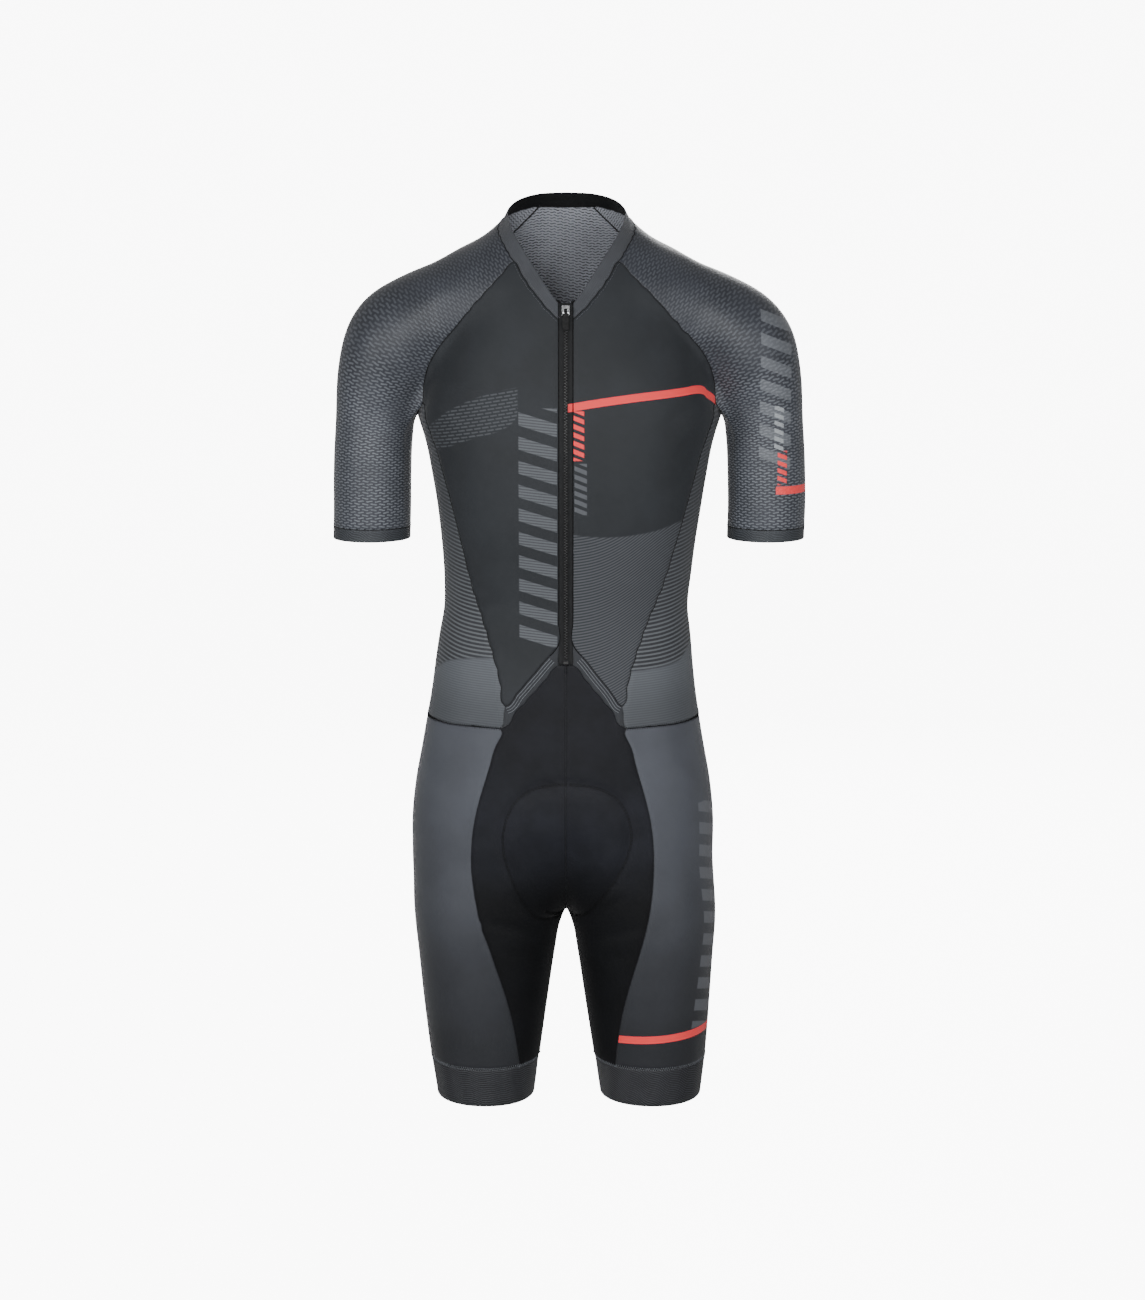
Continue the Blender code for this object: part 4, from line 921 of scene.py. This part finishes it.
def seam_allowance(thing, keeps, fabric):
    """Flaps of cloth under the seams whose two sides don't share an edge."""
    bm = bmesh.new()
    bm.from_mesh(thing.data)
    edges = [e for e in bm.edges if e.is_boundary and keeps((e.verts[0].co + e.verts[1].co) / 2)]
    outward = {}
    for edge in edges:
        middle = (edge.verts[0].co + edge.verts[1].co) / 2
        way = middle - edge.link_faces[0].calc_center_median()
        for v in edge.verts:
            outward[v.index] = outward.get(v.index, Vector()) + way.normalized()
    sunk = {v.index: -FLAP_SUNK * v.normal for edge in edges for v in edge.verts}
    places = {tuple(v.co): v.index for edge in edges for v in edge.verts}
    made = bmesh.ops.extrude_edge_only(bm, edges=edges)["geom"]
    for v in (g for g in made if isinstance(g, bmesh.types.BMVert)):
        index = places[tuple(v.co)]
        v.co += sunk[index] + FLAP_WIDTH * outward[index].normalized()
    flaps = {f for g in made if isinstance(g, bmesh.types.BMEdge) for f in g.link_faces}
    bmesh.ops.delete(bm, geom=[f for f in bm.faces if f not in flaps], context="FACES")
    for v in bm.verts:
        v.co -= FLAP_EASE * v.normal if v.index in sunk else Vector()
    piece = add_object("seam_flaps", to_mesh(bm, "seam_flaps"))
    piece.data.materials.clear()
    piece.data.materials.append(fabric)
    for face in piece.data.polygons:
        face.material_index = 0
    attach(piece, "suit")
    return piece


def unsewn(middle):
    """Whether a place is on the leg bands' or the waist's seam, or along the zip's tapes."""
    x, y, z = middle
    return (abs(z - LEG_SEAM) < 4 * MM or (-540 * MM < z < -430 * MM and abs(x) > 9 * MM)
            or (6 * MM < abs(x) < 9 * MM and y < -50 * MM and -470 * MM < z < -75 * MM))


def thread_shade(name, shade):
    return plain(name, shade, 0.6, 0.3)


def sew_all(thing):
    """All the threads of the suit."""
    seams = Seams(thing)
    black = thread_shade("black_thread", "0d0e0f")
    grey = thread_shade("grey_thread", "54585d")
    light = thread_shade("light_thread", "74787e")
    for name, joins, thread in (("seam_threads", JOINS_ABOVE, black),
                                ("shorts_seam_threads", JOINS_BELOW, thread_shade("shorts_thread", "1f2024"))):
        sew(name, [even(run, SEAM_STEP) for pair in joins for run in seams.between(*pair)], thread, SEAM_THREAD)

    bands = [run for kind in SHORTS for run in seams.rims(kind, lambda c: abs(c.z - LEG_SEAM) < 4 * MM)]
    sew("leg_band_stitches", [seams.zigzag(run, 2.6 * MM, 1.7 * MM, PROUD) for run in bands], light, BAND_THREAD)
    cuffs = seams.between("sleeve", "sleeve_hem")
    sew("cuff_stitches", [d for run in cuffs for off in (-2.2 * MM, 2.2 * MM)
                          for d in seams.dashes(run, DASH, DASH_GAP, off, PROUD)], grey, CUFF_THREAD)
    threads = []
    for run in seams.between("front", "front_hem"):
        side = 1 if run[0][0] * (run[-1][2] - run[0][2]) < 0 else -1
        threads += [seams.beside(run, side * off * MM, 0.12 * MM) for off in HEM_ROWS]
    sew("hem_stitches", threads, light, HEM_THREAD)
    welts = seams.between("neck_band", "front")
    sew("neck_stitches", [d for run in welts for off in (-2.4 * MM, 2.4 * MM)
                          for d in seams.dashes(run, DASH, DASH_GAP, off, PROUD)], grey, NECK_THREAD)
    inner = [seams.beside(run, 0.0, -1.3 * MM) for run in seams.between("back", "sleeve")]
    sew("inner_seam_threads", inner, black, INNER_THREAD)
    waist = [run for kind in ("side", "back") for run in seams.rims(kind, lambda c: abs(c.z - WAIST) < 6 * MM)]
    sew("waist_stitches", [seams.zigzag(run, 2.8 * MM, 2.0 * MM, 0.05 * MM) for run in waist], black, WAIST_THREAD)

    outline = []
    for x, z in curve_through(PAD_EDGE, closed=True) * MM:
        ahead = seams.surface.ray_cast(Vector((x, -0.3, z)), Vector((0, 1, 0)), 0.3)[0]
        spot, normal, _, _ = seams.surface.find_nearest(ahead or Vector((x, -0.09, z)))
        outline.append(spot - 0.05 * MM * normal)
    rows = [d for off in (-0.9 * MM, 0.9 * MM)
            for d in seams.dashes(np.array(outline), 2.4 * MM, 0.6 * MM, off)]
    sew("pad_stitches", rows, thread_shade("dark_thread", "050506"), PAD_THREAD)
    seams.bm.free()


# ======== zip
TOOTH_STEP = 1.5 * MM
TOOTH = (1.9 * MM, 1.0 * MM, 0.85 * MM)     # across, out from the tape, up
TOOTH_BEVEL = 0.25 * MM
TOOTH_SIDE, TOOTH_SUNK = 0.75 * MM, 0.15 * MM
CHAIN_TOP, CHAIN_BOTTOM = -97 * MM, -452 * MM


def zip_teeth():
    """Two rows of moulded teeth that mesh along the middle."""
    graph = bpy.context.evaluated_depsgraph_get()
    chain = BVHTree.FromObject(NODES["zip_chain"], graph)
    tooth = bmesh.new()
    bmesh.ops.create_cube(tooth, size=1)
    bmesh.ops.scale(tooth, verts=tooth.verts, vec=TOOTH)
    bmesh.ops.bevel(tooth, geom=tooth.edges[:], offset=TOOTH_BEVEL, offset_type="OFFSET", segments=2, profile=0.5,
                    affect="EDGES", material=-1)
    one = to_mesh(tooth, "tooth")
    teeth = bmesh.new()
    heights = np.arange(CHAIN_TOP, CHAIN_BOTTOM, -TOOTH_STEP)
    for i, z in enumerate(heights):
        spot, normal, _, _ = chain.ray_cast(Vector((0, -0.3, z)), Vector((0, 1, 0)))
        count = len(teeth.verts)
        teeth.from_mesh(one)
        teeth.verts.ensure_lookup_table()
        fresh = teeth.verts[count:]
        turn = Matrix.Rotation(math.atan2(-normal.z, -normal.y), 4, "X")
        side = TOOTH_SIDE * (-1) ** i
        middle = spot + Vector((side, 0, 0)) - TOOTH_SUNK * normal
        bmesh.ops.transform(teeth, verts=fresh, matrix=Matrix.Translation(middle) @ turn)
    bpy.data.meshes.remove(one)
    made = add_object("zip_teeth", to_mesh(teeth, "zip_teeth"))
    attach(made, "suit")
    return made


# ======== seat pad
PAD_VOXEL = 2.4 * MM
PAD_SHRINK = 0.9 * MM
PAD_CAP = 1.8 * MM
PAD_PRESSURE = 4
PAD_FRAMES = 20
PAD_GROOVES = (18, 42)          # from the middle, in mm
GROOVE_DEPTH, GROOVE_WIDTH, GROOVE_SWAY = 0.9 * MM, 2.4, 6
PAD_BLACK_ABOVE = -628


def pad_foam():
    f = Fabric("pad_cloth", 0.75, 0.25, 0.4)
    dots = f.both(f.stripes(f.x, 3.0, 1.6, 0.4), f.stripes(f.z, 3.0, 1.6, 0.4))
    red = f.mix(f.noise(18), ink("d3102c"), ink("f0303f"))
    tip = f.both(f.rise(f.z, PAD_BLACK_ABOVE - 1.0, PAD_BLACK_ABOVE + 1.0), f.fall(f.y, -22.0, -18.0))
    return f.finish(f.mix(tip, f.mix(f.both(dots, 0.25), red, ink("a00a20")), ink("141416")), dots, 0.3)


def seat_pad():
    """The foam pad, swollen by a cloth simulation, with its sewn channels pressed in."""
    bm = bmesh.new()
    bm.from_mesh(NODES["seat_pad"].data)
    bmesh.ops.remove_doubles(bm, verts=bm.verts, dist=WELD)
    bm.normal_update()
    pad = add_object("seat_pad_foam", to_mesh(bm, "seat_pad_foam"))
    remesh = pad.modifiers.new("remesh", "REMESH")
    remesh.mode = "VOXEL"
    remesh.voxel_size = PAD_VOXEL
    remesh.use_smooth_shade = True
    apply_all(pad)
    start = points_of(pad.data)
    normals = np.array([v.normal for v in pad.data.vertices])
    start -= PAD_SHRINK * normals
    put_points(pad.data, start)
    cloth = pad.modifiers.new("cloth", "CLOTH")
    cloth.settings.use_pressure = True
    cloth.settings.uniform_pressure_force = PAD_PRESSURE
    cloth.settings.effector_weights.gravity = 0
    scene = bpy.context.scene
    for number in range(1, PAD_FRAMES + 1):
        scene.frame_set(number)
    apply_all(pad)
    scene.frame_set(1)
    moved = points_of(pad.data) - start
    reach = np.linalg.norm(moved, axis=1, keepdims=True)
    points = start + moved * np.minimum(1, PAD_CAP / np.maximum(reach, 1e-9))
    for groove in PAD_GROOVES:
        off = np.abs(np.abs(points[:, 0] / MM) - groove - GROOVE_SWAY * np.cos(points[:, 2] / MM / 28))
        points -= (GROOVE_DEPTH * np.exp(-(off / GROOVE_WIDTH) ** 2))[:, None] * normals
    put_points(pad.data, points)
    smooth = pad.modifiers.new("smooth", "SUBSURF")
    smooth.levels = smooth.render_levels = 1
    set_material(pad, pad_foam())
    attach(pad, "suit")
    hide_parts("seat_pad")
    return pad


# ======== the whole suit
net = sewn_net()
fit_net(net)
whole = add_object("whole", subdivided(net, NET_LEVELS))
bpy.data.objects.remove(net)
shape_cloth(whole)
pieces = {}
for index, panel in enumerate(PANELS):
    pieces[panel] = cut_panel(whole, index, panel)
    pieces[panel].data.materials.clear()
    pieces[panel].data.materials.append(fabric_of(panel))
# The inner faces take the lighter inside knit: partly its own grey, partly painted light inside the suit.
inside_cloth = knit_inside()
for panel in ("back", "sleeve_left", "sleeve_right"):
    pieces[panel].data.materials.append(inside_cloth)
    pieces[panel].modifiers["thickness"].material_offset = 1

sew_all(whole)
seam_allowance(whole, unsewn, plain("under_cloth", "0b0c0d", 0.8, 0.2))
set_material(zip_teeth(), plain("zip_teeth", "17181a", 0.35, 0.6))
set_material(NODES["zip_chain"], plain("zip_cord", "0e0f10", 0.7, 0.3))
set_material(NODES["zip_slider"], plain("slider_metal", "d9dbdd", 0.28, 0.6, 1.0))
set_material(NODES["zip_stop"], plain("stop_metal", "17181a", 0.45, 0.5))
set_material(NODES["zip_pull"], plain("pull_plastic", "08090a", 0.6, 0.25))
seat_pad()
bpy.data.objects.remove(whole)


# ======== studio
def look_from(thing, place, at):
    thing.location = place
    thing.rotation_euler = (Vector(at) - Vector(place)).to_track_quat("-Z", "Y").to_euler()
    bpy.context.scene.collection.objects.link(thing)


def soft_light(name, place, at, size, power):
    lamp = bpy.data.lights.new(name, "AREA")
    lamp.shape = "RECTANGLE"
    lamp.size, lamp.size_y = size
    lamp.energy = power
    look_from(bpy.data.objects.new(name, lamp), place, at)


MIDDLE = (0, 0, -0.48)
AMBIENT, BACKDROP = 0.17, 9.0
soft_light("key", (-0.45, -3.2, 0.35), MIDDLE, (0.9, 1.5), 62)
soft_light("fill", (0.9, -3.0, -0.1), MIDDLE, (0.7, 1.4), 24)
soft_light("back", (0.5, 3.0, 0.5), MIDDLE, (1.2, 1.6), 60)
soft_light("left", (2.2, -2.1, 0.1), MIDDLE, (0.7, 1.6), 24)
soft_light("right", (-2.2, -2.1, 0.1), MIDDLE, (0.7, 1.6), 38)

# Dim light from all round, on a white background.
world = bpy.data.worlds.new("studio")
world.use_nodes = True
nodes = world.node_tree.nodes
seen = nodes.new("ShaderNodeLightPath").outputs["Is Camera Ray"]
strength = nodes.new("ShaderNodeMapRange")
strength.inputs["To Min"].default_value = AMBIENT
strength.inputs["To Max"].default_value = BACKDROP
world.node_tree.links.new(seen, strength.inputs["Value"])
world.node_tree.links.new(strength.outputs[0], nodes["Background"].inputs["Strength"])
nodes["Background"].inputs["Color"].default_value = (1, 1, 1, 1)
bpy.context.scene.world = world

bm = bmesh.new()
bmesh.ops.create_grid(bm, x_segments=8, y_segments=8, size=6)
bmesh.ops.translate(bm, verts=bm.verts, vec=(0, 0, -1.25))
back_edge = [e for e in bm.edges if all(v.co.y > 5.9 for v in e.verts)]
raised = bmesh.ops.extrude_edge_only(bm, edges=back_edge)["geom"]
bmesh.ops.translate(bm, verts=[v for v in raised if isinstance(v, bmesh.types.BMVert)], vec=(0, 0, 9))
floor = add_object("floor", to_mesh(bm, "floor"))
paper = bpy.data.materials.new("white_paper")
paper.use_nodes = True
shader = paper.node_tree.nodes["Principled BSDF"]
shader.inputs["Base Color"].default_value = (0.9, 0.9, 0.9, 1)
shader.inputs["Emission Color"].default_value = (1, 1, 1, 1)
shader.inputs["Emission Strength"].default_value = BACKDROP
floor.data.materials.append(paper)
floor.visible_diffuse = False
floor.visible_glossy = False

lens = bpy.data.cameras.new("camera")
lens.lens = 72.03
lens.sensor_width = 36
camera = bpy.data.objects.new("camera", lens)
camera.location = (0.007, -2.8, 0.0337)
camera.rotation_euler = Euler((math.radians(80), 0, 0))
bpy.context.scene.collection.objects.link(camera)
bpy.context.scene.camera = camera
